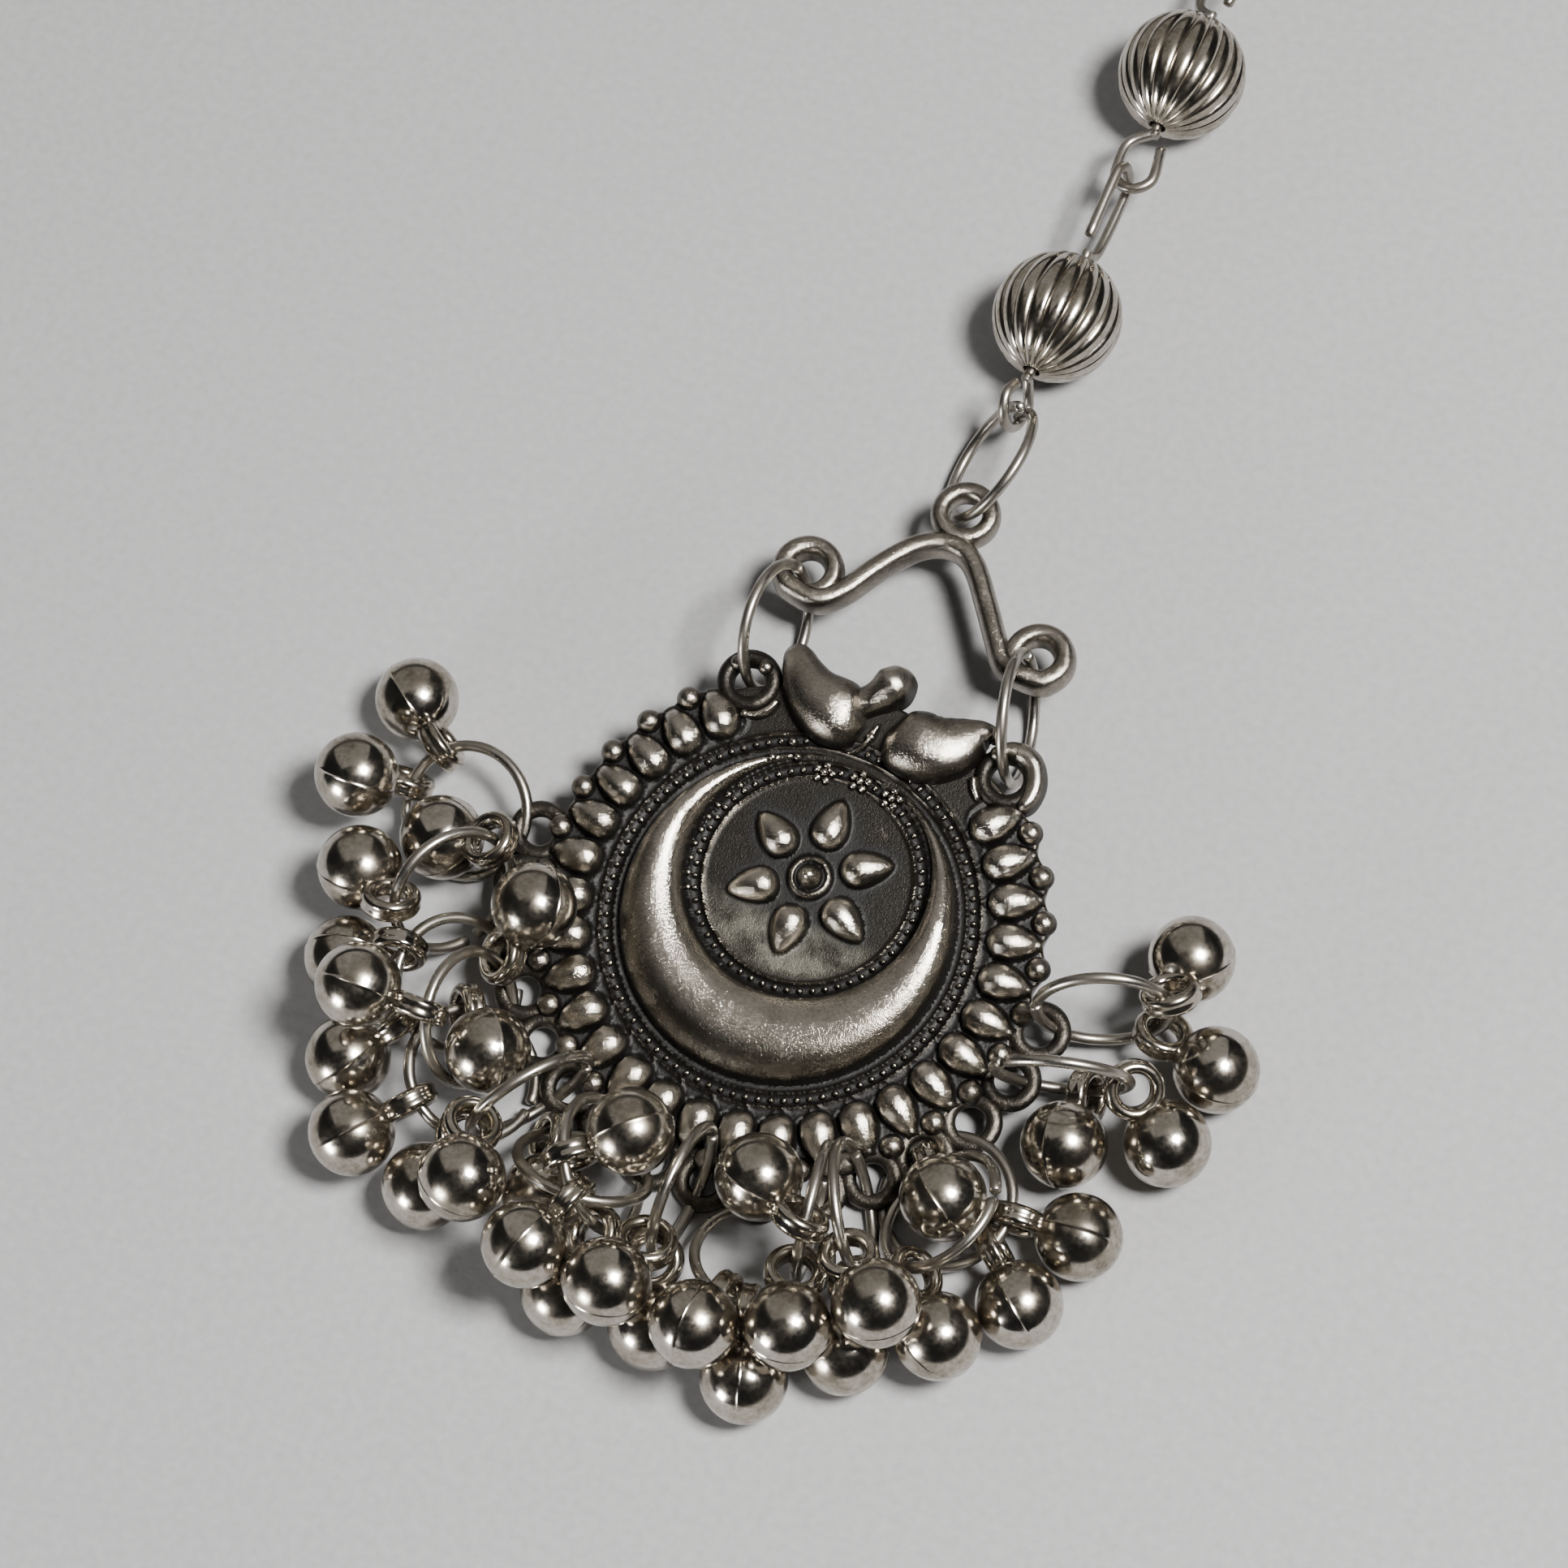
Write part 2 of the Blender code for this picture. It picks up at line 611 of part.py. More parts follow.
def rest_on_ground():
    """Move everything so that the origin is the middle of the box's underside."""
    corners = [made.matrix_world @ vertex.co for made in bpy.context.scene.objects
               for vertex in made.data.vertices]
    low = [min(c[i] for c in corners) for i in range(3)]
    high = [max(c[i] for c in corners) for i in range(3)]
    shift = Matrix.Translation((-(low[0] + high[0]) / 2, -(low[1] + high[1]) / 2, -low[2]))
    for made in bpy.context.scene.objects:
        made.matrix_world = shift @ made.matrix_world


def build():
    clear_scene()
    medallion()
    bells()
    hanger()
    shoulder_rings()
    chain_link()
    melon_bead("1")
    melon_bead("2")
    hair_hook()
    bpy.context.view_layer.update()
    rest_on_ground()


build()
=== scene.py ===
"""Looks of the maang tikka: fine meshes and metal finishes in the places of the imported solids.

Places and sizes are in millimetres in the layout that the part's source uses, and make() turns
them into metres in the frame. ORIGIN is that layout's origin, found from the first ribbed bead.
"""

import math

import bpy
import numpy as np
from mathutils import Matrix, Vector


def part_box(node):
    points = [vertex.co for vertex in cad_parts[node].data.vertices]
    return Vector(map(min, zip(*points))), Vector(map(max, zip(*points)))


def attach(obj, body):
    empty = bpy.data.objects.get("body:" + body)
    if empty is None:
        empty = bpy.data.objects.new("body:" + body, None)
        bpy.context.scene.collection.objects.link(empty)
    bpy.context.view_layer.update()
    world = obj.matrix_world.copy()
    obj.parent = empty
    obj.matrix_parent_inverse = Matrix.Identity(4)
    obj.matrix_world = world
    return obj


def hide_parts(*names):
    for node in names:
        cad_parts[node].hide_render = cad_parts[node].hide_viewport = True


MM = 0.001
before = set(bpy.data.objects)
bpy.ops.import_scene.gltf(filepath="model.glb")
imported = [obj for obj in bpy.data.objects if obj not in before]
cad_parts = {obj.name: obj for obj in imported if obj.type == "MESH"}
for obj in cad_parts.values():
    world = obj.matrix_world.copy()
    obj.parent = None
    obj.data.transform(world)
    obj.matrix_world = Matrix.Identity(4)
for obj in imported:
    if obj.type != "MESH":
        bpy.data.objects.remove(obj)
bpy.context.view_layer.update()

# ---------------------------------------------------------------- the layout, as in the part

MEDALLION_TILT = 8.0            # degrees about X
MEDALLION_HEIGHT = 3.2          # top face's centre above the surface
PLATE_RADIUS = 15.4
SCALLOP = 0.45                  # how far the rim swells round each rim dot
CROWN_RADIUS = 14.6             # behind the comma shapes
PLATE_THICK = 1.0
RIM_ROUND = 0.3
RIM_SIDE = ((0.0, -0.6), (-0.1, -0.85), (-RIM_ROUND, -PLATE_THICK))     # down the side: inset, level
PAD_RADIUS = 10.0               # round pad on the back
PAD_PROUD = 0.25
BACK_MIDDLE = 0.3               # radius of the round face in the middle of the back

OVALS = 27
OVAL_RING = 13.65
OVAL_FIRST = 47.0               # degrees, then clockwise
OVAL_LAST = -228.0
OVAL_SIZE = (3.3, 2.4, 1.3)     # length outwards, width, height
OVAL_TAPER = 0.5                # how much an oval narrows outwards
OVAL_RIDGE = (0.36, 0.1, 0.12)  # thin ridge round an oval's inner end: distance, half width, height
RIM_DOT = (15.35, 0.78)         # ring radius, dot radius
RIM_DOT_LEVEL = -0.05

CORD_RING = (0.0, 0.0, 11.15)   # rings of beading: x, y, radius
INNER_CORD_RING = (0.1, 2.65, 6.9)
CORD_STEP = 0.78                # from one dot to the next
CORD_DOT = 0.2
CORD_DOT_LEVEL = 0.02
CORD_RIDGE = (0.42, 0.11, 0.16)  # on each side of a ring of beading: distance, half width, height
CORD_BED = (0.3, 0.14)          # groove under a ring of beading: half width, depth
CORD_DIRT = 0.36                # half width of the dirt in it
MISCAST = (7.35, 148.0, 205.0)  # second row of lumps inside the crescent: radius, first and last heading
MISCAST_DOT = 0.24
MISCAST_DOTS = 9
MISCAST_LEVEL = 0.05

CRESCENT_OUTER = (-0.1, 0.0, 10.25)
CRESCENT_INNER = (0.0, 2.8, 7.5)
CRESCENT_RISE = 1.9
CRESCENT_FULL = 2.3             # a higher number makes its top flatter
HORN_SLOPE = 0.85               # rise of a narrow horn for its width
FILM_EDGE = 0.9                 # from the crescent's inner edge to the pale film by the flower

FLOWER_CENTRE = (0.15, 2.8)
PETALS = 6
PETAL_FIRST = 30                # degrees
PETAL_REACH = 3.5
PETAL_SIZE = (3.3, 2.3, 1.2)
PETAL_TAPER = 0.62
BOSS = (2.9, 0.62)              # width, rise
BOSS_BALL = (1.35, 1.25)
BOSS_GROOVE = (0.86, 0.14, 0.3)  # radius, half width, depth
STARS = ((-1.6, 9.1), (0.65, 9.4), (2.85, 9.1))
STAR_REACH = 0.5                # from a star's middle dot to its points
STAR_POINT = (0.27, 0.16)       # radius, level
STAR_MIDDLE = (0.26, 0.3)

COMMAS = (                      # the pair at the top: x, y, half width, rise
    (
        (-0.45, 12.95, 0.9, 0.8),
        (-1.4, 12.8, 1.95, 1.8),
        (-2.5, 12.85, 2.2, 2.1),
        (-3.6, 13.2, 2.0, 2.0),
        (-4.5, 13.7, 1.68, 1.8),
        (-5.3, 14.4, 1.38, 1.55),
        (-5.95, 15.2, 1.05, 1.3),
        (-6.4, 16.0, 0.75, 1.0),
    ),
    (
        (0.95, 12.85, 1.0, 0.8),
        (1.8, 12.7, 1.9, 1.7),
        (2.9, 12.7, 2.2, 2.05),
        (4.0, 12.85, 2.15, 2.05),
        (4.85, 13.3, 2.0, 1.9),
        (5.45, 13.85, 1.75, 1.65),
        (5.95, 14.4, 1.35, 1.4),
        (6.45, 14.85, 0.9, 1.1),
        (7.0, 15.0, 0.55, 0.85),
        (7.35, 14.7, 0.38, 0.6),
    ),
)
KNOB_NECK = (                   # neck and head of the knob
    (-2.0, 13.4, 0.9, 1.0),
    (-1.4, 13.8, 1.05, 1.2),
    (-0.85, 14.25, 1.0, 1.3),
    (-0.4, 14.7, 1.1, 1.55),
    (-0.05, 15.15, 1.25, 1.8),
    (0.2, 15.6, 1.32, 1.9),
    (0.4, 16.1, 1.15, 1.75),
    (0.55, 16.6, 0.85, 1.35),
    (0.62, 16.95, 0.4, 0.65),
)
STEM = (                        # thin leaf between the commas
    (0.35, 13.2, 0.2, 0.5),
    (0.2, 12.5, 0.26, 0.55),
    (0.05, 11.8, 0.24, 0.5),
    (-0.3, 11.2, 0.16, 0.35),
    (-0.9, 10.7, 0.1, 0.2),
)
SHOULDERS = ((-8.3, 12.8), (8.8, 12.85))
SHOULDER_MID = 1.5
SHOULDER_HALF = (0.56, 0.75)
SHOULDER_LEVEL = -0.3
CAST_SQUARE = 2.2               # section of a cast loop: a little squarer than an ellipse
CURLS = (                       # ridges on and below the shoulder loops: x, y, half width, rise
    ((7.5, 13.7, 0.4, 0.7), (8.4, 14.5, 0.62, 0.8), (9.7, 14.4, 0.7, 0.85), (10.5, 13.4, 0.66, 0.85),
     (10.65, 12.2, 0.6, 0.85), (10.3, 11.1, 0.5, 0.8)),
    ((-6.0, 12.3, 0.3, 0.7), (-6.35, 11.5, 0.32, 0.65), (-6.95, 10.95, 0.3, 0.6), (-7.7, 10.75, 0.22, 0.45)),
    ((6.9, 12.2, 0.3, 0.7), (7.25, 11.5, 0.3, 0.6), (7.8, 10.85, 0.22, 0.45)),
)
SWELL_SUNK = -0.5               # foot of a raised form, under the plate's face
SWELL_FULL = 0.55               # a lower number makes its sides steeper
SWELL_TIP = (0.2, 0.12)         # a drawn-in end: its size, and its share of the length
BUMPS = (                       # cast beads on and by the shoulder loops: x, y, level, radius
    (-9.3, 13.55, 0.35, 0.5),
    (-7.6, 13.9, 0.3, 0.5),
    (-7.7, 10.75, 0.2, 0.3),
    (7.75, 14.0, 0.3, 0.5),
    (0.15, 12.15, 0.35, 0.3),
    (-4.2, 10.2, 0.15, 0.32),
    (-4.85, 8.75, 0.75, 0.25),
    (-3.5, 9.4, 0.35, 0.26),
)

DOT_ARC = (-40, 88)             # degrees up a dot's side, from its sunk foot to its top

EYELETS = 16
EYELET_RING = 16.6
EYELET_FIRST = -2.6             # degrees, then clockwise
EYELET_STEP = -11.7
EYELET_MID = 1.42
EYELET_HALF = (0.52, 0.42)      # half width and half depth of its bar
EYELET_LEVEL = -0.45
RING_RADIUS = 4.0
RING_WIRE = 0.35
RING_GAP = 10.0                 # degrees left open where the wire was cut
RING_SEAT = 0.95
RING_STEPS = 56
WIRE_END = (0.25, 0.72)         # a wire's rounded end: its length and its face, as shares of the radius

BALL_RADIUS = 2.6
BELL_LOOP_MID = 1.42
BELL_LOOP_HALF = (0.46, 0.66)   # along the loop's radius, and through the loop
LOOP_DIP = (0.38, 0.16)         # groove between the loop's two ridges: share of its width, half width
SEAM = (0.035, 0.045)           # moulding seam round the ball: height, half width
BALL_TO_LOOP = 3.8
BALL_TO_WIRE = 4.3

# How each jump ring lies, from the right-hand end of the fringe to the left, in whole degrees.
# Ring: heading and rise of the line from its eyelet across it, and its roll about that line.
# Each bell: its place round the ring, then heading and rise of the line from the wire to the ball.
FRINGE = (
    # ring           right or upper bell   other bell
    ((28, 42, 81), (263, -12, -2), (202, 90, -32)),
    ((5, 54, 104), (303, -88, 18), (236, -31, -32)),
    ((-83, -5, 13), (120, -44, 12), (92, 5, 5)),
    ((-53, 33, 27), (224, -45, -4), (8, -56, 45)),
    ((-83, 57, 114), (251, -80, -12), (202, -38, 19)),
    ((-69, 68, 78), (186, 155, -13), (230, -71, 20)),
    ((-62, 26, 172), (146, -97, 47), (168, -72, -19)),
    ((-93, 75, 92), (234, -103, 24), (261, -68, -17)),
    ((-126, 59, 155), (251, -98, -20), (176, 41, 14)),
    ((-84, 49, 175), (49, -68, 12), (192, -107, 14)),
    ((-114, 66, 78), (250, -109, -16), (222, -71, 18)),
    ((-125, 22, 162), (72, -39, 26), (183, -128, 0)),
    ((-114, 42, 128), (42, 72, 35), (160, -175, 13)),
    ((-113, 15, 147), (115, -159, -27), (178, -127, -17)),
    ((-137, 36, 122), (56, -173, -27), (190, 153, -23)),
    ((-176, -7, 155), (126, 141, -9), (169, -143, 46)),
)

HANGER_LEVEL = 4.0
ARM_HALF = (0.72, 0.95)         # half width and half depth
ARM_SQUARE = 2.9
ARM_DRAWN = (0.8, 60)           # size of the bar's two ends, and rows until it is full
ARM_LEAN = 0.12                 # how much its sides lean in towards the top
ARCH = (                        # x, y of the arch's middle line, left end to right end
    (-8.2, 19.5),
    (-6.9, 19.6),
    (-5.6, 20.8),
    (-4.3, 23.1),
    (-2.6, 25.3),
    (-0.7, 26.1),
    (1.0, 25.5),
    (2.9, 23.2),
    (4.4, 21.2),
    (5.6, 19.85),
    (7.2, 19.4),
)
END_LOOPS = ((-8.25, 21.25), (7.25, 21.15))
END_TURNS = ((-440.0, -110.0), (-70.0, 260.0))  # degrees round each end loop, along the bar
TOP_LOOP = (-0.75, 28.35)
LOOP_MID = 1.6
LOOP_HALF = (0.6, 0.85)
LOOP_SQUARE = 2.6
WEB_ENDS = (-2.7, -2.1, -1.5)   # rows of the web under the top loop, along the arch's height
WEB_HALF = (0.95, 0.75)

SHOULDER_RINGS = {              # middle, end towards the hanger, lean from upright
    "shoulder_ring_left": ((-8.45, 16.85, 4.3), (0.0, 7.9, -0.6), -15.0),
    "shoulder_ring_right": ((7.72, 16.88, 4.35), (-1.75, 7.9, -0.6), -9.0),
}
SHOULDER_CUT = 25.0             # degrees from that end to the wire's cut

LINK_MIDDLE = (-0.85, 32.2, 4.0)
LINK_LEAN = 33.0
LINK_FIRST = 30.0               # degrees
LINK_TURN = 395.0               # degrees of wire, so that its ends overlap
LINK_PITCH = 0.9                # sideways step over that turn
BEADS = {"1": (-1.0, 43.3), "2": (-0.5, 62.5)}
BEAD_RADIUS = 4.1
BEAD_HALF = 4.2
BEAD_RIBS = 20
RIB_STEPS = 12                  # points across one rib
RIB_ROUND = 0.93                # 1 makes a rib's section a half ellipse
BEAD_GROOVE = 0.34
GROOVE_FADE = 0.55              # a lower number keeps the grooves deep nearer the bore
BEAD_LIP = 81.5                 # latitude where the ribs end
BEAD_BORE = (0.48, 3.8)         # radius, and how far from the bead's middle it begins
CHAIN_WIRE = 0.35
EYES = {                        # lower eye then upper eye: length, half width, lean from upright
    "1": ((3.95, 1.5, -18.0), (7.2, 1.3, -12.0)),
    "2": ((4.8, 1.3, 80.0), (6.9, 1.3, 60.0)),
}
EYE_NECK = 0.45                 # straight wire before an eye opens
EYE_OPEN = 1.6                  # where it is at its full width
EYE_LONG = 2.4                  # an eye whose bend begins past this has a straight side
EYE_CUT = (1.5, 0.95)           # its cut end: along and sideways
EYE_BACK = 0.7                  # least length from a short eye's bend to its cut end

HOOK_WIRE = 0.5
HOOK_EYE = 1.45
HOOK_EYE_ARC = (140, -130)      # degrees, from its cut end to the shank
HOOK_SLACK = 0.25               # between its wire and the eye that it hangs on
HOOK_SHANK = 9.0
HOOK_BEND = 2.65
HOOK_POINT = 6.5

# ---------------------------------------------------------------- camera and light

CAMERA_HEADING = 34.83          # degrees from -Y towards +X, to where the camera stands
CAMERA_RISE = 66.5
CAMERA_ROLL = -11.33
CAMERA_REACH = 290.1            # from the point that it aims at
CAMERA_AIM = (-3.95, 7.9, 3.2)
CAMERA_LENS = 109.49
CAMERA_SENSOR = 36.0
LIT = (0.0, 5.0, 2.0)           # what the lamps face
LAMPS = (
    # name, heading from +X, rise, distance, size, watts, colour
    ("key", 5, 63, 450, 110, 7.2, (1.0, 0.98, 0.95)),
    ("front", -114, 9, 430, 110, 2.4, (1.0, 1.0, 1.0)),
    ("back", 125, 50, 450, 700, 0.55, (1.0, 0.96, 0.90)),
)
WORLD = ((0.5, 0.51, 0.53, 1.0), 0.035)         # colour and strength of what surrounds the object
FLOOR_HALF = 1.5                # metres

low_corner, high_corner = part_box("melon_bead_1")
ORIGIN = (low_corner + high_corner) / 2 - Vector((*BEADS["1"], BEAD_RADIUS)) * MM


# ---------------------------------------------------------------- mesh helpers

class Gather:
    """Points, faces and values for each point, gathered from several shapes.

    The darkening value is how blackened the metal is at a point, from 0 to 1, by oxide and by painted shade;
    residue is how pale its film.
    """

    def __init__(self):
        self.points = []
        self.faces = []
        self.values = {"oxide_and_shade": [], "residue": []}
        self.count = 0

    def add(self, points, faces, oxide_and_shade=0.3, residue=0.0):
        points = np.asarray(points, float).reshape(-1, 3)
        self.faces += [[self.count + corner for corner in face] for face in faces]
        self.points.append(points)
        for key, value in (("oxide_and_shade", oxide_and_shade), ("residue", residue)):
            self.values[key].append(np.broadcast_to(np.asarray(value, float).ravel(), (len(points),)))
        self.count += len(points)

    def grid(self, rows, closed=False, oxide_and_shade=0.3, residue=0.0):
        """Skin over rows of points that each run right round."""
        rows = np.asarray(rows, float)
        number, around = rows.shape[:2]
        first = np.arange(number if closed else number - 1)[:, None]
        corner = np.arange(around)[None, :]
        after, side = (first + 1) % number, (corner + 1) % around
        faces = np.stack([first * around + corner, first * around + side,
                          after * around + side, after * around + corner], -1).reshape(-1, 4).tolist()
        if not closed:
            faces.append(list(range(around))[::-1])
            faces.append(list(range((number - 1) * around, number * around)))
        self.add(rows, faces, oxide_and_shade, residue)

    def moved(self, turn, place):
        """The same points turned by a 3 x 3 matrix and then moved."""
        turn = np.array(turn)
        self.points = [points @ turn.T + np.array(place) for points in self.points]
        return self


def make(name, shape, material, slot, replaced, matrix=None):
    """Object from a gathered shape, riding on the body, with its material; the slot argument is not used."""
    mesh = bpy.data.meshes.new(name)
    mesh.from_pydata((np.concatenate(shape.points) * MM).tolist(), [], shape.faces)
    for key, parts in shape.values.items():
        attribute = mesh.attributes.new(key, "FLOAT", "POINT")
        attribute.data.foreach_set("value", np.concatenate(parts).astype(np.float32))
    mesh.shade_smooth()
    mesh.set_sharp_from_angle(angle=math.radians(50))
    mesh.materials.append(material)
    return place(name, mesh, slot, replaced, matrix)


def place(name, mesh, slot, replaced, matrix):
    """Object that shows a mesh, riding on the body; matrix places it in the layout."""
    made = bpy.data.objects.new(name, mesh)
    bpy.context.scene.collection.objects.link(made)
    made.matrix_world = Matrix.Translation(ORIGIN) @ (matrix or Matrix.Identity(4))
    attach(made, "root")
    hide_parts(*replaced)
    return made


def unit(vector):
    """The same direction with a length of 1."""
    vector = np.asarray(vector, float)
    return vector / np.linalg.norm(vector)


def polar(radius, degrees):
    """Point at a radius and a turn from +X."""
    return np.array([radius * math.cos(math.radians(degrees)), radius * math.sin(math.radians(degrees)), 0.0])


def smooth(points, between):
    """Points on a smooth curve through the given ones; also works on rows of other values."""
    points = [np.asarray(point, float) for point in points]
    ends = [2 * points[0] - points[1], *points, 2 * points[-1] - points[-2]]
    path = []
    for a, b, c, d in zip(ends, ends[1:], ends[2:], ends[3:]):
        for n in range(between):
            t = n / between
            path.append(0.5 * (2 * b + (c - a) * t + (2 * a - 5 * b + 4 * c - d) * t * t
                               + (3 * b - a - 3 * c + d) * t ** 3))
    path.append(points[-1])
    return np.array(path)


def oval_section(half_width, half_depth, sides, square=2.0):
    """Offsets round a section: 2 is an ellipse, and a higher number is squarer."""
    turns = 2 * np.pi * (np.arange(sides) + 0.5) / sides
    c, s = np.cos(turns), np.sin(turns)
    return np.stack([half_width * np.sign(c) * np.abs(c) ** (2 / square),
                     half_depth * np.sign(s) * np.abs(s) ** (2 / square)], -1)


def tube(shape, path, section, closed=False, side_way=(0, 0, 1), scale=None, oxide_and_shade=0.3):
    """Bar along a path; the section's second offset is measured along side_way."""
    path = np.asarray(path, float)
    if closed:
        along = np.roll(path, -1, 0) - np.roll(path, 1, 0)
    else:
        along = np.gradient(path, axis=0)
    along /= np.linalg.norm(along, axis=1)[:, None]
    depth_way = np.asarray(side_way, float)
    rows = []
    for i, point in enumerate(path):
        depth_way = unit(depth_way - (depth_way @ along[i]) * along[i])
        width_way = np.cross(depth_way, along[i])
        size = 1.0 if scale is None else scale[i]
        rows.append(point + size * (section[:, :1] * width_way + section[:, 1:] * depth_way))
    shape.grid(rows, closed, oxide_and_shade)


def wire(shape, path, radius, side_way, sides=12):
    """Round wire whose cut ends are a little rounded."""
    path = np.asarray(path, float)
    start, end = unit(path[0] - path[1]), unit(path[-1] - path[-2])
    past = radius * WIRE_END[0]
    path = np.concatenate([[path[0] + start * past], path, [path[-1] + end * past]])
    scale = np.ones(len(path))
    scale[0] = scale[-1] = WIRE_END[1]
    tube(shape, path, oval_section(radius, radius, sides), False, side_way, scale)


def ring(shape, centre, middle, section, steps, level, oxide_and_shade):
    """Closed ring lying in the XY plane."""
    path = [np.array([centre[0], centre[1], level]) + polar(middle, 360 * n / steps) for n in range(steps)]
    tube(shape, path, section, closed=True, oxide_and_shade=oxide_and_shade)


def dot(shape, centre, radius, squash=1.0, rings=6, around=12, dark=0.9, light=0.2):
    """Half-sunk round dot: the dark of its foot fades to its worn top."""
    rows, oxide_and_shade = [], []
    foot, top = DOT_ARC
    for n in range(rings + 1):
        turn = math.radians(foot + (top - foot) * n / rings)
        level, reach = math.sin(turn), math.cos(turn)
        rows.append([np.asarray(centre) + [radius * reach * math.cos(a), radius * reach * math.sin(a),
                                           radius * squash * level]
                     for a in (2 * math.pi * k / around for k in range(around))])
        oxide_and_shade += [light + (dark - light) * (1 - max(0.0, level)) ** 2] * around
    shape.grid(rows, oxide_and_shade=oxide_and_shade)


# ---------------------------------------------------------------- medallion

TILT = np.array(Matrix.Rotation(math.radians(MEDALLION_TILT), 3, "X"))
LIFT = np.array([0.0, 0.0, MEDALLION_HEIGHT])


def soft_max(a, b, reach):
    """Larger of two heights, blended where they are within reach of each other."""
    share = np.clip(0.5 + 0.5 * (a - b) / reach, 0, 1)
    return b * (1 - share) + a * share + reach * share * (1 - share)


def step_up(value, low, high):
    """0 up to low and 1 from high on, with a smooth rise between."""
    share = np.clip((value - low) / (high - low), 0, 1)
    return share * share * (3 - 2 * share)


def local(x, y, centre, heading):
    """Distance along a heading, and across it, from a centre."""
    c, s = math.cos(math.radians(heading)), math.sin(math.radians(heading))
    return (x - centre[0]) * c + (y - centre[1]) * s, (y - centre[1]) * c - (x - centre[0]) * s


def mound(x, y, centre, width, rise):
    """Height of a round mound, below zero outside it."""
    q = (2 * (x - centre[0]) / width) ** 2 + (2 * (y - centre[1]) / width) ** 2
    return rise * np.where(q < 1, np.sqrt(np.clip(1 - q, 0, 1)), 1.0 - np.sqrt(np.maximum(q, 1)))


def egg(x, y, centre, size, heading, taper):
    """Height of an egg-shaped dome that narrows along its heading; below zero outside it."""
    along, across = local(x, y, centre, heading)
    t = np.clip(along / size[0] + 0.5, 0.0, 1.0)
    width = 2 * np.sqrt(t * (1 - t)) * (1 + 0.45 * taper - taper * t) + 1e-4
    q = np.abs(across) / (size[1] / 2 * width)
    height = size[2] * width * np.sqrt(np.clip(1 - q * q, 0, 1))
    beyond = np.maximum(np.abs(along) - size[0] / 2, 0)
    outside = np.hypot(beyond, np.maximum(np.abs(across) - size[1] / 2 * width, 0))
    return np.where(outside > 0, -outside, height)


def in_crescent(x, y):
    """Distance in from the crescent's outer edge and from its inner edge, and its width there."""
    outer = CRESCENT_OUTER[2] - np.hypot(x - CRESCENT_OUTER[0], y - CRESCENT_OUTER[1])
    inner = np.hypot(x - CRESCENT_INNER[0], y - CRESCENT_INNER[1]) - CRESCENT_INNER[2]
    return outer, inner, np.maximum(outer + inner, 0.01)


def crescent(x, y):
    """Height of the puffed crescent between its two circles."""
    outer, inner, width = in_crescent(x, y)
    share = np.clip(outer / width, 0, 1)
    rise = np.minimum(CRESCENT_RISE, HORN_SLOPE * width)
    arched = rise * np.sqrt(np.clip(1 - np.abs(2 * share - 1) ** CRESCENT_FULL, 0, 1))
    return np.where((outer > 0) & (inner > 0), arched, np.minimum(outer, inner))


def oval_headings():
    """Where the ovals round the rim lie, in degrees."""
    return [OVAL_FIRST + (OVAL_LAST - OVAL_FIRST) * n / (OVALS - 1) for n in range(OVALS)]


def bell_curve(distance, half_width, power=2):
    """1 at no distance, about 0.37 at the half width, and soon nothing beyond it."""
    return np.exp(-(distance / half_width) ** power)


def grooved(x, y, circle):
    """Two thin ridges with the bed of a ring of beading sunk between them."""
    cx, cy, radius = circle
    away = np.hypot(x - cx, y - cy) - radius
    distance, half_width, height = CORD_RIDGE
    bed_half, depth = CORD_BED
    ridges = height * bell_curve(np.abs(away) - distance, half_width)
    return ridges - depth * bell_curve(away, bed_half, 4)


def relief(x, y):
    """Height of the cast face over the plate's flat."""
    height = grooved(x, y, CORD_RING)
    inside = np.hypot(x - CRESCENT_INNER[0], y - CRESCENT_INNER[1]) < CRESCENT_INNER[2]
    height = height + np.where(inside, grooved(x, y, INNER_CORD_RING), 0)
    height = soft_max(height, crescent(x, y), 0.2)
    distance, half_width, ridge = OVAL_RIDGE
    for heading in oval_headings():
        dome = egg(x, y, polar(OVAL_RING, heading), OVAL_SIZE, heading, OVAL_TAPER)
        height = height + ridge * bell_curve(dome + distance, half_width) * (np.hypot(x, y) < OVAL_RING)
        height = soft_max(height, dome, 0.16)
    for n in range(PETALS):
        heading = PETAL_FIRST + 360 * n / PETALS
        centre = polar(PETAL_REACH, heading)[:2] + FLOWER_CENTRE
        height = soft_max(height, egg(x, y, centre, PETAL_SIZE, heading, PETAL_TAPER), 0.2)
    height = soft_max(height, mound(x, y, FLOWER_CENTRE, *BOSS), 0.08)
    from_boss = np.hypot(x - FLOWER_CENTRE[0], y - FLOWER_CENTRE[1])
    radius, half_width, depth = BOSS_GROOVE
    height = height - depth * bell_curve(from_boss - radius, half_width)
    return soft_max(height, mound(x, y, FLOWER_CENTRE, *BOSS_BALL), 0.06)


def height_near(x, y, reach):
    """Mean height on a small circle round each point."""
    turns = [2 * math.pi * n / 8 for n in range(8)]
    return sum(relief(x + reach * math.cos(turn), y + reach * math.sin(turn)) for turn in turns) / 8


def rim_radius(turn):
    """The plate's radius at a turn in degrees: it swells at each rim dot."""
    step = (OVAL_FIRST - OVAL_LAST) / (OVALS - 1)
    place = (OVAL_FIRST - turn) % 360 / step
    swell = 0.5 - 0.5 * np.cos(2 * np.pi * place)
    crown = np.sin(np.pi * np.clip((place - OVALS + 1) / (360 / step - OVALS + 1), 0, 1)) ** 0.5
    return PLATE_RADIUS + np.where(place < OVALS - 1, SCALLOP * swell, (CROWN_RADIUS - PLATE_RADIUS) * crown)


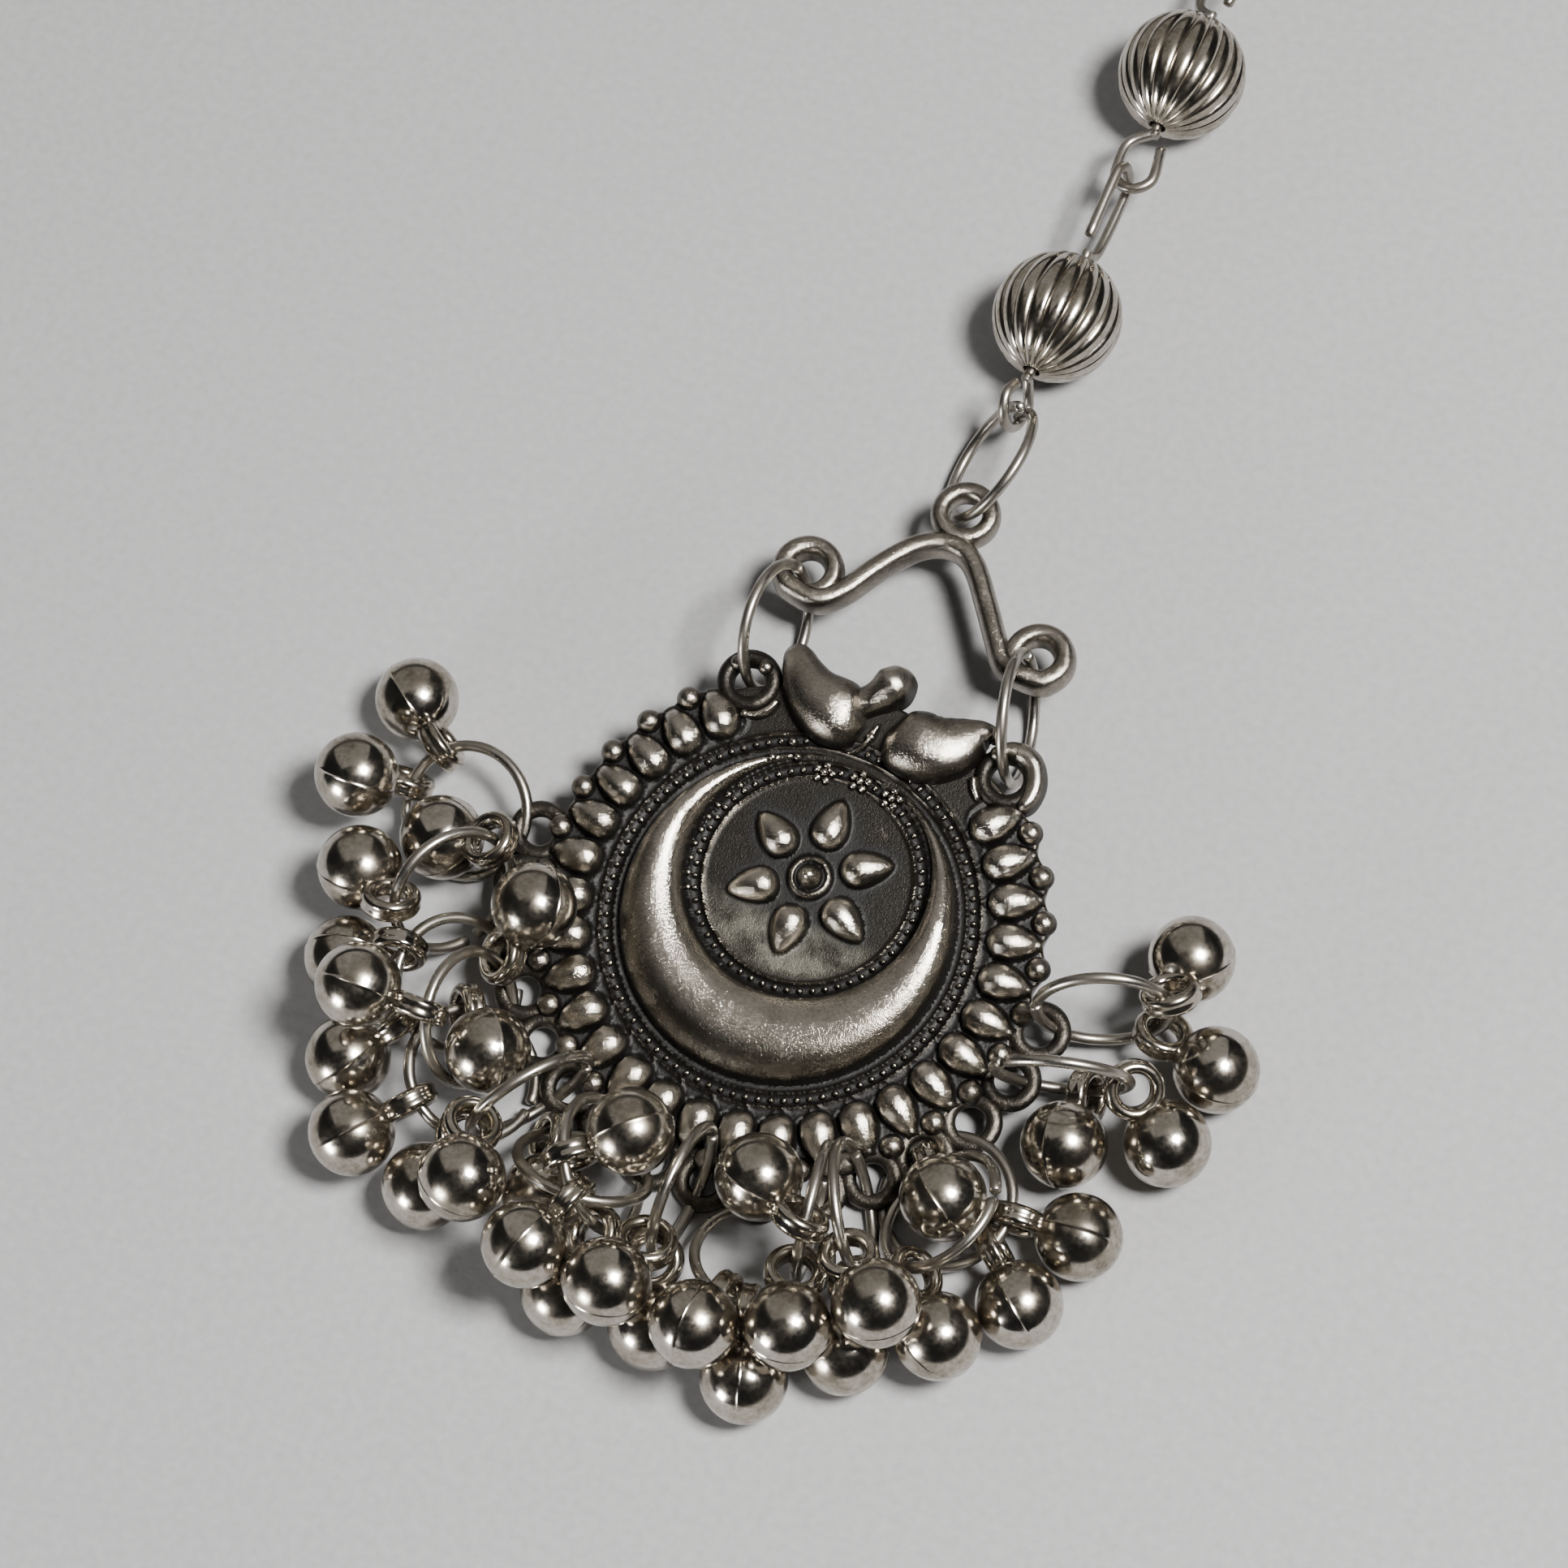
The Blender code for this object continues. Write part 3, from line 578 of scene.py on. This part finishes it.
def blackening_and_shade(x, y, height):
    """How black the face is: grime lies on the flats and most beside something tall; tops are rubbed clean;
    the crescent's outer side gets painted shade.
    """
    bed = sum(bell_curve(np.hypot(x - cx, y - cy) - radius, CORD_DIRT, 4)
              for cx, cy, radius in (CORD_RING, INNER_CORD_RING))
    oxide_and_shade = 0.62 + 0.8 * (height_near(x, y, 0.9) - height) + 1.2 * (height_near(x, y, 0.35) - height)
    oxide_and_shade += 0.3 * bed - 0.5 * step_up(height, 0.15, 0.9)
    outer, _, width = in_crescent(x, y)
    # Painted shade: darker towards the crescent's outer edge, on its wider parts.
    painted_outer_shade = (1 - step_up(outer / width, 0.04, 0.62)) * step_up(width, 1.0, 3.5)
    oxide_and_shade += 0.5 * painted_outer_shade * step_up(outer, -0.1, 0.1)
    return np.clip(oxide_and_shade, 0.05, 1.0)


def pale_film(x, y, height):
    """How pale the film is on the flat below and beside the flower."""
    field = CRESCENT_INNER[2] - FILM_EDGE - np.hypot(x - CRESCENT_INNER[0], y - CRESCENT_INNER[1])
    return step_up(field, 0.0, 0.8) * step_up(-y, -0.6, 1.2) * (1 - step_up(height, 0.05, 0.3))


def plate():
    """Cast disc: its face is a height field, rolled over the scalloped rim to a flat back."""
    across, turns = ((112, 680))
    turn = 360.0 * np.arange(turns) / turns
    rim = rim_radius(turn)
    heading = np.radians(turn)
    shares = np.linspace(0.0, 1.0, across + 1)[1:]
    radius = shares[:, None] * (rim - RIM_ROUND)[None, :]
    x, y = radius * np.cos(heading), radius * np.sin(heading)
    height = relief(x, y)
    edge = []
    for lean in np.radians([15, 30, 45, 60, 75, 90]):
        edge.append((-RIM_ROUND * (1 - math.sin(lean)), height[-1] - RIM_ROUND * (1 - math.cos(lean))))
    edge += [(inset, np.full(turns, level)) for inset, level in RIM_SIDE]
    rows = [np.stack([x, y, height], -1)]
    way_x, way_y = np.cos(heading), np.sin(heading)
    for inset, level in edge:
        rows.append(np.stack([(rim + inset) * way_x, (rim + inset) * way_y, level], -1)[None])
    back = ((PAD_RADIUS + 0.15, -PLATE_THICK), (PAD_RADIUS, -PLATE_THICK - PAD_PROUD * 0.6),
            (PAD_RADIUS - 0.2, -PLATE_THICK - PAD_PROUD), (BACK_MIDDLE, -PLATE_THICK - PAD_PROUD))
    for reach, level in back:
        rows.append(np.stack([reach * way_x, reach * way_y, np.full(turns, level)], -1)[None])
    rows = np.concatenate(rows)
    plain = np.zeros((len(rows) - across, turns))
    oxide_and_shade = np.concatenate([blackening_and_shade(x, y, height), plain + 0.5])
    residue = np.concatenate([pale_film(x, y, height), plain])
    shape = Gather()
    shape.grid(rows, oxide_and_shade=oxide_and_shade, residue=residue)
    return shape


def beading(shape, circle):
    """Ring of small dots on the plate."""
    x, y, radius = circle
    count = round(2 * math.pi * radius / CORD_STEP)
    for n in range(count):
        centre = np.array([x, y, CORD_DOT_LEVEL]) + polar(radius, 360 * n / count)
        dot(shape, centre, CORD_DOT, squash=1.15, rings=5, around=10)


def swelling(shape, table):
    """Rounded raised form along a row of places; its ends are drawn in."""
    rows = smooth(table, 8)
    last = len(rows) - 1
    across = np.gradient(rows[:, :2], axis=0)
    across = np.stack([-across[:, 1], across[:, 0]], -1)
    across /= np.linalg.norm(across, axis=1)[:, None]
    turns = np.linspace(0, np.pi, 21)
    tip, tip_share = SWELL_TIP
    loops, oxide_and_shade = [], []
    for n, (x, y, half, rise) in enumerate(rows):
        end = min(n, last - n) / last
        draw = tip + (1 - tip) * math.sqrt(max(0.0, 1 - (1 - min(end / tip_share, 1.0)) ** 2))
        side = half * draw * np.cos(turns)
        up = SWELL_SUNK + (rise * draw - SWELL_SUNK) * np.sin(turns) ** SWELL_FULL
        loops.append(np.stack([x + across[n, 0] * side, y + across[n, 1] * side, up], -1))
        oxide_and_shade.append(np.clip(0.95 - 0.9 * np.sin(turns) ** 0.8, 0.12, 1) + 0.3 * (1 - draw))
    shape.grid(loops, oxide_and_shade=np.clip(oxide_and_shade, 0, 1))


def ornaments():
    """Dots, stars, commas, knob and shoulder loops on the plate."""
    shape = Gather()
    beading(shape, CORD_RING)
    beading(shape, INNER_CORD_RING)
    radius, first, last = MISCAST
    for n in range(MISCAST_DOTS):
        turn = first + (last - first) * n / (MISCAST_DOTS - 1)
        centre = np.array([*INNER_CORD_RING[:2], MISCAST_LEVEL]) + polar(radius, turn)
        dot(shape, centre, MISCAST_DOT, squash=0.9, rings=5, around=10)
    headings = oval_headings()
    for first, second in zip(headings, headings[1:]):
        centre = polar(RIM_DOT[0], (first + second) / 2) + [0, 0, RIM_DOT_LEVEL]
        dot(shape, centre, RIM_DOT[1], squash=1.05, rings=8, around=18)
    for star in STARS:
        radius, level = STAR_POINT
        for n in range(5):
            point = np.array([*star, level]) + polar(STAR_REACH, 90 + 72 * n)
            dot(shape, point, radius, 1.2, dark=0.6, light=0.05)
        radius, level = STAR_MIDDLE
        dot(shape, np.array([*star, level]), radius, 1.2, dark=0.6, light=0.05)
    for table in (*COMMAS, *CURLS, KNOB_NECK, STEM):
        swelling(shape, table)
    for x, y, level, radius in BUMPS:
        dot(shape, np.array([x, y, level]), radius, rings=7, around=16)
    section = oval_section(*SHOULDER_HALF, 18, CAST_SQUARE)
    for centre in SHOULDERS:
        ring(shape, centre, SHOULDER_MID, section, 48, SHOULDER_LEVEL, oxide_and_shade=0.56)
    return shape


def eyelets():
    """Cast rings round the lower rim, which hold the jump rings."""
    shape = Gather()
    section = oval_section(*EYELET_HALF, 12)
    for number in range(EYELETS):
        centre = polar(EYELET_RING, EYELET_FIRST + EYELET_STEP * number)
        ring(shape, centre, EYELET_MID, section, 36, EYELET_LEVEL, oxide_and_shade=0.5)
    return shape


# ---------------------------------------------------------------- fringe

def heading_rise(heading, rise):
    """Unit direction at a heading from +X and a rise, in degrees."""
    heading, rise = math.radians(heading), math.radians(rise)
    return np.array([math.cos(rise) * math.cos(heading), math.cos(rise) * math.sin(heading), math.sin(rise)])


class JumpRing:
    """Where one jump ring and its two bells lie."""

    def __init__(self, number):
        (heading, rise, roll), *self.bells = FRINGE[number]
        eyelet = polar(EYELET_RING, EYELET_FIRST + EYELET_STEP * number) + [0, 0, EYELET_LEVEL]
        eyelet = TILT @ eyelet + LIFT
        self.across = heading_rise(heading, rise)
        level_way = unit(np.cross([0, 0, 1], self.across))
        rise_way = np.cross(self.across, level_way)
        roll = math.radians(roll)
        self.side = math.cos(roll) * level_way + math.sin(roll) * rise_way
        plate_up = TILT @ np.array([0.0, 0.0, 1.0])
        seat_way = unit(self.across - (self.across @ plate_up) * plate_up)
        self.middle = eyelet + RING_SEAT * seat_way + RING_RADIUS * self.across

    def wire_at(self, turn):
        """Point of the wire's middle line, and its direction there; 0 is in the eyelet."""
        turn = math.radians(turn)
        point = self.middle + RING_RADIUS * (math.sin(turn) * self.side - math.cos(turn) * self.across)
        return point, math.sin(turn) * self.across + math.cos(turn) * self.side

    def shape(self):
        """The ring, its cut turned away from the bells."""
        turns = [math.radians(turn) for turn, _, _ in self.bells]
        cut = math.degrees(math.atan2(sum(map(math.sin, turns)), sum(map(math.cos, turns)))) + 180
        turn = 360 - RING_GAP
        path = [self.wire_at(cut + RING_GAP / 2 + turn * n / RING_STEPS)[0] for n in range(RING_STEPS + 1)]
        made = Gather()
        wire(made, path, RING_WIRE, np.cross(self.across, self.side))
        return made

    def bell_matrix(self, which):
        """A bell's origin is its ball's centre, its +Z runs to its loop, and +Y goes through the loop."""
        turn, heading, rise = self.bells[which]
        point, along = self.wire_at(turn)
        drop = heading_rise(heading, rise)
        through = unit(along - (along @ drop) * drop)
        matrix = Matrix(np.stack([np.cross(through, -drop), through, -drop], -1).tolist()).to_4x4()
        matrix.translation = Vector(point + BALL_TO_WIRE * drop) * MM
        return matrix


def bell():
    """Ball with a thin moulding seam in the plane of its loop, and a double-ridged loop.

    The ball's rows of points run round +Y, and they lie closer together by the seam.
    """
    shape = Gather()
    steps = np.linspace(-1, 1, 35)
    rises = np.radians(89.5) * np.sign(steps) * np.abs(steps) ** 1.5
    around = 48
    turns = 2 * np.pi * np.arange(around) / around
    rows = []
    for rise in rises:
        through = BALL_RADIUS * math.sin(rise)
        reach = BALL_RADIUS * math.cos(rise) + SEAM[0] * bell_curve(through, SEAM[1])
        rows.append(np.stack([reach * np.cos(turns), np.full(around, through), reach * np.sin(turns)], -1))
    shape.grid(rows[::-1], oxide_and_shade=0.0)
    section = oval_section(*BELL_LOOP_HALF, 22, CAST_SQUARE)
    section[:, 0] *= 1 - LOOP_DIP[0] * bell_curve(section[:, 1], LOOP_DIP[1])
    path = [np.array([0, 0, BALL_TO_LOOP]) + [BELL_LOOP_MID * math.cos(t), 0, BELL_LOOP_MID * math.sin(t)]
            for t in 2 * np.pi * np.arange(44) / 44]
    tube(shape, path, section, closed=True, side_way=(0, 1, 0), oxide_and_shade=0.0)
    return shape


# ---------------------------------------------------------------- hanger and chain

def hanger():
    """Cast bar that arches between two end loops, which its ends close, with a loop on its top."""
    curls = []
    for centre, turns in zip(END_LOOPS, END_TURNS):
        curls.append([np.array(centre) + polar(LOOP_MID, turn)[:2] for turn in np.linspace(*turns, 13)])
    path = smooth([*curls[0], *ARCH[1:-1], *curls[1]], 6)
    drawn, full_at = ARM_DRAWN
    ends = np.minimum(np.arange(len(path)), len(path) - 1 - np.arange(len(path))) / full_at
    scale = drawn + (1 - drawn) * np.clip(ends, 0, 1)
    path = np.column_stack([path, np.full(len(path), HANGER_LEVEL)])
    shape = Gather()
    section = oval_section(*ARM_HALF, 24, ARM_SQUARE)
    section[:, 0] *= 1 - ARM_LEAN * section[:, 1] / ARM_HALF[1]
    tube(shape, path, section, scale=scale, oxide_and_shade=0.2)
    section = oval_section(*LOOP_HALF, 18, LOOP_SQUARE)
    ring(shape, TOP_LOOP, LOOP_MID, section, 48, HANGER_LEVEL, oxide_and_shade=0.2)
    web = [(TOP_LOOP[0], TOP_LOOP[1] + end, HANGER_LEVEL) for end in WEB_ENDS]
    tube(shape, web, oval_section(*WEB_HALF, 16, LOOP_SQUARE), oxide_and_shade=0.35)
    return shape


def leaning(along, lean):
    """Unit direction square to along, turned from upright towards +X by lean degrees."""
    lean = math.radians(lean)
    up = np.array([math.sin(lean), 0.0, math.cos(lean)])
    return unit(up - (up @ along) * along)


def shoulder_ring(name):
    """Jump ring between a shoulder loop and the hanger."""
    middle, along, lean = SHOULDER_RINGS[name]
    along = unit(along)
    up = leaning(along, lean)
    turns = np.radians(SHOULDER_CUT + np.linspace(0, 360 - RING_GAP, RING_STEPS + 1))
    path = [np.array(middle) + RING_RADIUS * (math.cos(t) * along + math.sin(t) * up) for t in turns]
    shape = Gather()
    wire(shape, path, RING_WIRE, np.cross(along, up))
    return shape


def chain_link():
    """Ring whose wire overlaps itself, so it steps sideways once round."""
    along = np.array([0.0, 1.0, 0.0])
    up = leaning(along, LINK_LEAN)
    side = np.cross(along, up)
    path = []
    for share in np.linspace(0, 1, 61):
        turn = math.radians(LINK_FIRST - LINK_TURN * share)
        path.append(np.array(LINK_MIDDLE) + RING_RADIUS * (math.cos(turn) * along + math.sin(turn) * up)
                    + LINK_PITCH * (share - 0.5) * side)
    shape = Gather()
    wire(shape, path, CHAIN_WIRE, side)
    return shape


def eye_points(length, half, lean, way):
    """Middle line of a wire eye, from the bead's end out and round to its cut end; way is 1 or -1."""
    side = leaning(np.array([0.0, 1.0, 0.0]), lean)
    far = length - half
    points = [(0.0, 0.0), (EYE_NECK, 0.0), (min(EYE_OPEN, far), -half)]
    if far > EYE_LONG:
        points.append((far, -half))
    for n in range(1, 5):
        turn = math.pi * n / 5
        points.append((far + half * math.sin(turn), -half * math.cos(turn)))
    points.append((far, half))
    points.append((min(EYE_CUT[0], far - EYE_BACK), EYE_CUT[1]))
    return [np.array([0, way * along, 0]) + side * sideways for along, sideways in points]


def melon_bead():
    """Ribbed bead round the Y axis, its ribs and grooves drawn together at the bore."""
    around = RIB_STEPS * BEAD_RIBS
    turn = 2 * np.pi * np.arange(around) / around
    share = (np.arange(around) / RIB_STEPS) % 1 * 2 - 1
    rib = np.sqrt(1 - RIB_ROUND * share ** 2)
    rows = []
    for lean in np.radians(np.linspace(-BEAD_LIP, BEAD_LIP, 45)):
        reach = BEAD_RADIUS * math.cos(lean)
        groove = BEAD_GROOVE * math.cos(lean) ** GROOVE_FADE
        radius = reach - groove * (1 - rib)
        rows.append(np.stack([radius * np.cos(turn), np.full(around, BEAD_HALF * math.sin(lean)),
                              radius * np.sin(turn)], -1))
    bore, mouth = BEAD_BORE
    rows.insert(0, np.stack([bore * np.cos(turn), np.full(around, -mouth), bore * np.sin(turn)], -1))
    rows.append(np.stack([bore * np.cos(turn), np.full(around, mouth), bore * np.sin(turn)], -1))
    shape = Gather()
    shape.grid(rows[::-1], closed=True, oxide_and_shade=0.0)
    return shape


def bead_wire(number):
    """Wire through a bead with an eye at each end."""
    lower, upper = EYES[number]
    out_low = [np.array([0, -BEAD_HALF, 0]) + point for point in eye_points(*lower, -1)]
    out_high = [np.array([0, BEAD_HALF, 0]) + point for point in eye_points(*upper, 1)]
    path = smooth([*reversed(out_low), *out_high], 6)
    shape = Gather()
    wire(shape, path, CHAIN_WIRE, leaning(np.array([0.0, 1.0, 0.0]), lower[2] + 90))
    return shape


def hair_hook():
    """Plain hook: an upright eye on the last bead's wire, and a flat bend that rests on the surface."""
    x, y = BEADS["2"]
    eye_end = BEAD_HALF + EYES["2"][1][0]
    start = np.array([x, y + eye_end - CHAIN_WIRE - HOOK_WIRE - HOOK_SLACK + HOOK_EYE, BEAD_RADIUS])
    eye = [np.array([0, -HOOK_EYE * math.cos(t), HOOK_EYE * math.sin(t)])
           for t in np.radians(np.linspace(*HOOK_EYE_ARC, 10))]
    drop = BEAD_RADIUS - HOOK_WIRE
    slope = unit([0, HOOK_SHANK + HOOK_EYE, -drop])
    shank = [np.array([0, HOOK_EYE + 0.9, -0.3]), np.array([0, HOOK_EYE, 0]) + slope * HOOK_SHANK]
    bend_middle = shank[-1] + [HOOK_BEND, 0, 0]
    bend = [bend_middle + HOOK_BEND * (np.array([-math.cos(t), 0, 0]) + math.sin(t) * slope)
            for t in (math.pi * n / 7 for n in range(1, 8))]
    point = [bend[-1] - slope * HOOK_POINT * 0.7, bend[-1] - slope * HOOK_POINT + [0.8, 0, 0]]
    path = smooth([start + p for p in (*eye, *shank, *bend, *point)], 6)
    shape = Gather()
    wire(shape, path, HOOK_WIRE, (1, 0, 0), sides=16)
    return shape


# ---------------------------------------------------------------- materials

class Graph:
    """Short way to build a material's nodes."""

    def __init__(self, name):
        self.material = bpy.data.materials.new(name)
        self.material.use_nodes = True
        self.tree = self.material.node_tree
        self.shader = self.tree.nodes["Principled BSDF"]

    def node(self, kind, inputs=(), **settings):
        made = self.tree.nodes.new("ShaderNode" + kind)
        for key, value in settings.items():
            setattr(made, key, value)
        for key, value in dict(inputs).items():
            self.put(made.inputs[key], value)
        return made

    def put(self, socket, value):
        if isinstance(value, bpy.types.NodeSocket):
            self.tree.links.new(value, socket)
        else:
            socket.default_value = value

    def noise(self, size_mm, detail=2.0, rough=0.5):
        """Noise through the object, whose patches are about this large."""
        where = self.node("NewGeometry").outputs["Position"]
        made = self.node("TexNoise", {"Vector": where, "Scale": 1000.0 / size_mm, "Detail": detail,
                                      "Roughness": rough})
        return made.outputs["Fac"]

    def value(self, name):
        return self.node("Attribute", attribute_name=name).outputs["Fac"]

    def maths(self, operation, a, b, clamp=False):
        return self.node("Math", {0: a, 1: b}, operation=operation, use_clamp=clamp).outputs[0]

    def ramp(self, value, stops):
        """Colours, or greys for single numbers, by a value."""
        made = self.node("ValToRGB", {"Fac": value})
        ramp = made.color_ramp
        while len(ramp.elements) < len(stops):
            ramp.elements.new(0.5)
        for element, (at, colour) in zip(ramp.elements, stops):
            element.position = at
            element.color = (*(colour if isinstance(colour, tuple) else (colour,) * 3), 1.0)
        return made.outputs["Color"]

    def mix(self, share, a, b):
        made = self.node("Mix", {"Factor": share}, data_type="RGBA")
        self.put(made.inputs[6], a if isinstance(a, bpy.types.NodeSocket) else (*a, 1.0))
        self.put(made.inputs[7], b if isinstance(b, bpy.types.NodeSocket) else (*b, 1.0))
        return made.outputs[2]

    def bump(self, height, depth_mm, strength=1.0, under=None):
        inputs = {"Height": height, "Distance": depth_mm * MM, "Strength": strength}
        if under is not None:
            inputs["Normal"] = under
        return self.node("Bump", inputs).outputs["Normal"]


def oxidised_silver():
    """Cast silver blackened in its hollows and rubbed bright on what stands up; its darkening also holds
    painted shade.
    """
    graph = Graph("oxidised_silver")
    patches = graph.noise(1.6, 3.0)
    grain = graph.noise(0.2, 3.0, 0.6)
    fine = graph.noise(0.08, 2.0)
    uneven = graph.maths("MULTIPLY", graph.maths("SUBTRACT", patches, 0.5), 0.4)
    speckle = graph.maths("MULTIPLY", graph.maths("SUBTRACT", grain, 0.5), 0.2)
    # Oxide, grime and painted shade from the darkening value, made uneven by noise.
    dirt_and_shade = graph.maths("ADD", graph.value("oxide_and_shade"), graph.maths("ADD", uneven, speckle), clamp=True)
    colour = graph.ramp(dirt_and_shade, ((0.0, (0.47, 0.435, 0.38)), (0.22, (0.22, 0.2, 0.17)),
                               (0.4, (0.085, 0.076, 0.063)), (0.56, (0.017, 0.015, 0.0125)),
                               (0.8, (0.005, 0.0045, 0.004))))
    pale = graph.maths("MULTIPLY", graph.value("residue"), graph.ramp(patches, ((0.34, 0.1), (0.6, 0.7))))
    colour = graph.mix(pale, colour, (0.125, 0.12, 0.098))
    shader = graph.shader
    graph.put(shader.inputs["Base Color"], colour)
    graph.put(shader.inputs["Metallic"], graph.ramp(dirt_and_shade, ((0.4, 1.0), (0.95, 0.5))))
    graph.put(shader.inputs["Roughness"], graph.ramp(dirt_and_shade, ((0.0, 0.17), (0.45, 0.3), (0.9, 0.5))))
    normal = graph.bump(grain, 0.03, 0.7)
    graph.put(shader.inputs["Normal"], graph.bump(fine, 0.03, 0.9, normal))
    return graph.material


def bright_nickel():
    """Polished plating with a warm tarnish and fine scuffs."""
    graph = Graph("bright_nickel")
    patches = graph.noise(2.4, 4.0, 0.6)
    specks = graph.maths("MULTIPLY", graph.noise(0.3, 2.0), 0.25)
    tarnish = graph.maths("ADD", graph.maths("MULTIPLY", patches, 0.75), specks)
    colour = graph.ramp(tarnish, ((0.38, (0.52, 0.485, 0.43)), (0.52, (0.37, 0.335, 0.28)),
                                  (0.66, (0.21, 0.18, 0.14))))
    shader = graph.shader
    graph.put(shader.inputs["Base Color"], colour)
    shader.inputs["Metallic"].default_value = 1.0
    graph.put(shader.inputs["Roughness"], graph.ramp(tarnish, ((0.38, 0.12), (0.66, 0.28))))
    graph.put(shader.inputs["Normal"], graph.bump(graph.noise(0.5, 2.0), 0.006, 0.5))
    return graph.material


def silver_wire():
    """Drawn wire, satin and a little dulled."""
    graph = Graph("silver_wire")
    patches = graph.noise(1.8, 3.0)
    colour = graph.ramp(patches, ((0.35, (0.40, 0.38, 0.34)), (0.65, (0.22, 0.20, 0.17))))
    shader = graph.shader
    graph.put(shader.inputs["Base Color"], colour)
    shader.inputs["Metallic"].default_value = 1.0
    graph.put(shader.inputs["Roughness"], graph.ramp(patches, ((0.3, 0.22), (0.7, 0.4))))
    graph.put(shader.inputs["Normal"], graph.bump(graph.noise(0.2, 2.0), 0.01, 0.6))
    return graph.material


def floor_paper():
    """Plain pale paper with a faint grain."""
    graph = Graph("floor_paper")
    grain = graph.noise(0.6, 3.0)
    graph.put(graph.shader.inputs["Base Color"],
              graph.ramp(grain, ((0.3, (0.23, 0.23, 0.235)), (0.7, (0.265, 0.265, 0.27)))))
    graph.shader.inputs["Roughness"].default_value = 0.9
    graph.put(graph.shader.inputs["Normal"], graph.bump(grain, 0.05, 0.4))
    return graph.material


# ---------------------------------------------------------------- the object

def dress():
    """Every piece of the object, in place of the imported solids."""
    silver, nickel, wires = oxidised_silver(), bright_nickel(), silver_wire()
    on_plate = {"material": silver, "slot": "oxidised_silver", "replaced": ["medallion"]}
    make("medallion_plate", plate().moved(TILT, LIFT), **on_plate)
    make("medallion_relief", ornaments().moved(TILT, LIFT), **on_plate)
    make("medallion_eyelets", eyelets().moved(TILT, LIFT), **on_plate)
    bell_mesh = None
    for number in range(EYELETS):
        jump = JumpRing(number)
        make("jump_ring_%02d" % (number + 1), jump.shape(), wires, "silver_wire", ["medallion"])
        for which in (0, 1):
            node = "bell_%02d" % (2 * number + which + 1)
            matrix = jump.bell_matrix(which)
            if bell_mesh is None:
                bell_mesh = make("fine_" + node, bell(), nickel, "bright_nickel", [node], matrix).data
            else:
                place("fine_" + node, bell_mesh, "bright_nickel", [node], matrix)
    make("fine_hanger", hanger(), silver, "oxidised_silver", ["hanger"])
    for name in SHOULDER_RINGS:
        make("fine_" + name, shoulder_ring(name), wires, "silver_wire", [name])
    make("fine_chain_link", chain_link(), wires, "silver_wire", ["chain_link"])
    bead = melon_bead()
    for number, (x, y) in BEADS.items():
        matrix = Matrix.Translation(Vector((x, y, BEAD_RADIUS)) * MM)
        node = "melon_bead_" + number
        make("fine_" + node, bead, nickel, "bright_nickel", [node], matrix)
        node = "bead_wire_" + number
        make("fine_" + node, bead_wire(number), wires, "silver_wire", [node], matrix)
    make("fine_hair_hook", hair_hook(), wires, "silver_wire", ["hair_hook"])


# ---------------------------------------------------------------- the studio

def studio_floor():
    """Wide level floor that the ornament lies on."""
    mesh = bpy.data.meshes.new("floor")
    half = FLOOR_HALF
    corners = [(-half, -half, 0), (half, -half, 0), (half, half, 0), (-half, half, 0)]
    mesh.from_pydata(corners, [], [(0, 1, 2, 3)])
    mesh.materials.append(floor_paper())
    floor = bpy.data.objects.new("floor", mesh)
    bpy.context.scene.collection.objects.link(floor)


def camera():
    """Camera at the photo's viewing angle."""
    heading, rise = math.radians(CAMERA_HEADING), math.radians(CAMERA_RISE)
    back = Vector((math.sin(heading) * math.cos(rise), -math.cos(heading) * math.cos(rise), math.sin(rise)))
    right = Vector((0, 0, 1)).cross(back).normalized()
    matrix = Matrix((right, back.cross(right), back)).transposed().to_4x4()
    matrix = matrix @ Matrix.Rotation(math.radians(CAMERA_ROLL), 4, "Z")
    matrix.translation = ORIGIN + Vector(CAMERA_AIM) * MM + back * CAMERA_REACH * MM
    data = bpy.data.cameras.new("camera")
    data.lens, data.sensor_width = CAMERA_LENS, CAMERA_SENSOR
    data.clip_start, data.clip_end = 0.01, 10.0
    made = bpy.data.objects.new("camera", data)
    bpy.context.scene.collection.objects.link(made)
    made.matrix_world = matrix
    bpy.context.scene.camera = made


def lamp(name, heading, rise, away_mm, size_mm, watts, colour):
    """Square area light, seen from the medallion at a heading from +X and a rise from the floor."""
    data = bpy.data.lights.new(name, "AREA")
    data.size, data.energy, data.color = size_mm * MM, watts, colour
    made = bpy.data.objects.new(name, data)
    bpy.context.scene.collection.objects.link(made)
    towards = Vector(heading_rise(heading, rise))
    made.location = ORIGIN + Vector(LIT) * MM + towards * away_mm * MM
    made.rotation_mode = "QUATERNION"
    made.rotation_quaternion = towards.to_track_quat("Z", "Y")


def lights():
    """Three soft lamps and a dim world."""
    for row in LAMPS:
        lamp(*row)
    world = bpy.data.worlds.new("studio")
    world.use_nodes = True
    background = world.node_tree.nodes["Background"]
    background.inputs["Color"].default_value, background.inputs["Strength"].default_value = WORLD
    bpy.context.scene.world = world


dress()
studio_floor()
camera()
lights()
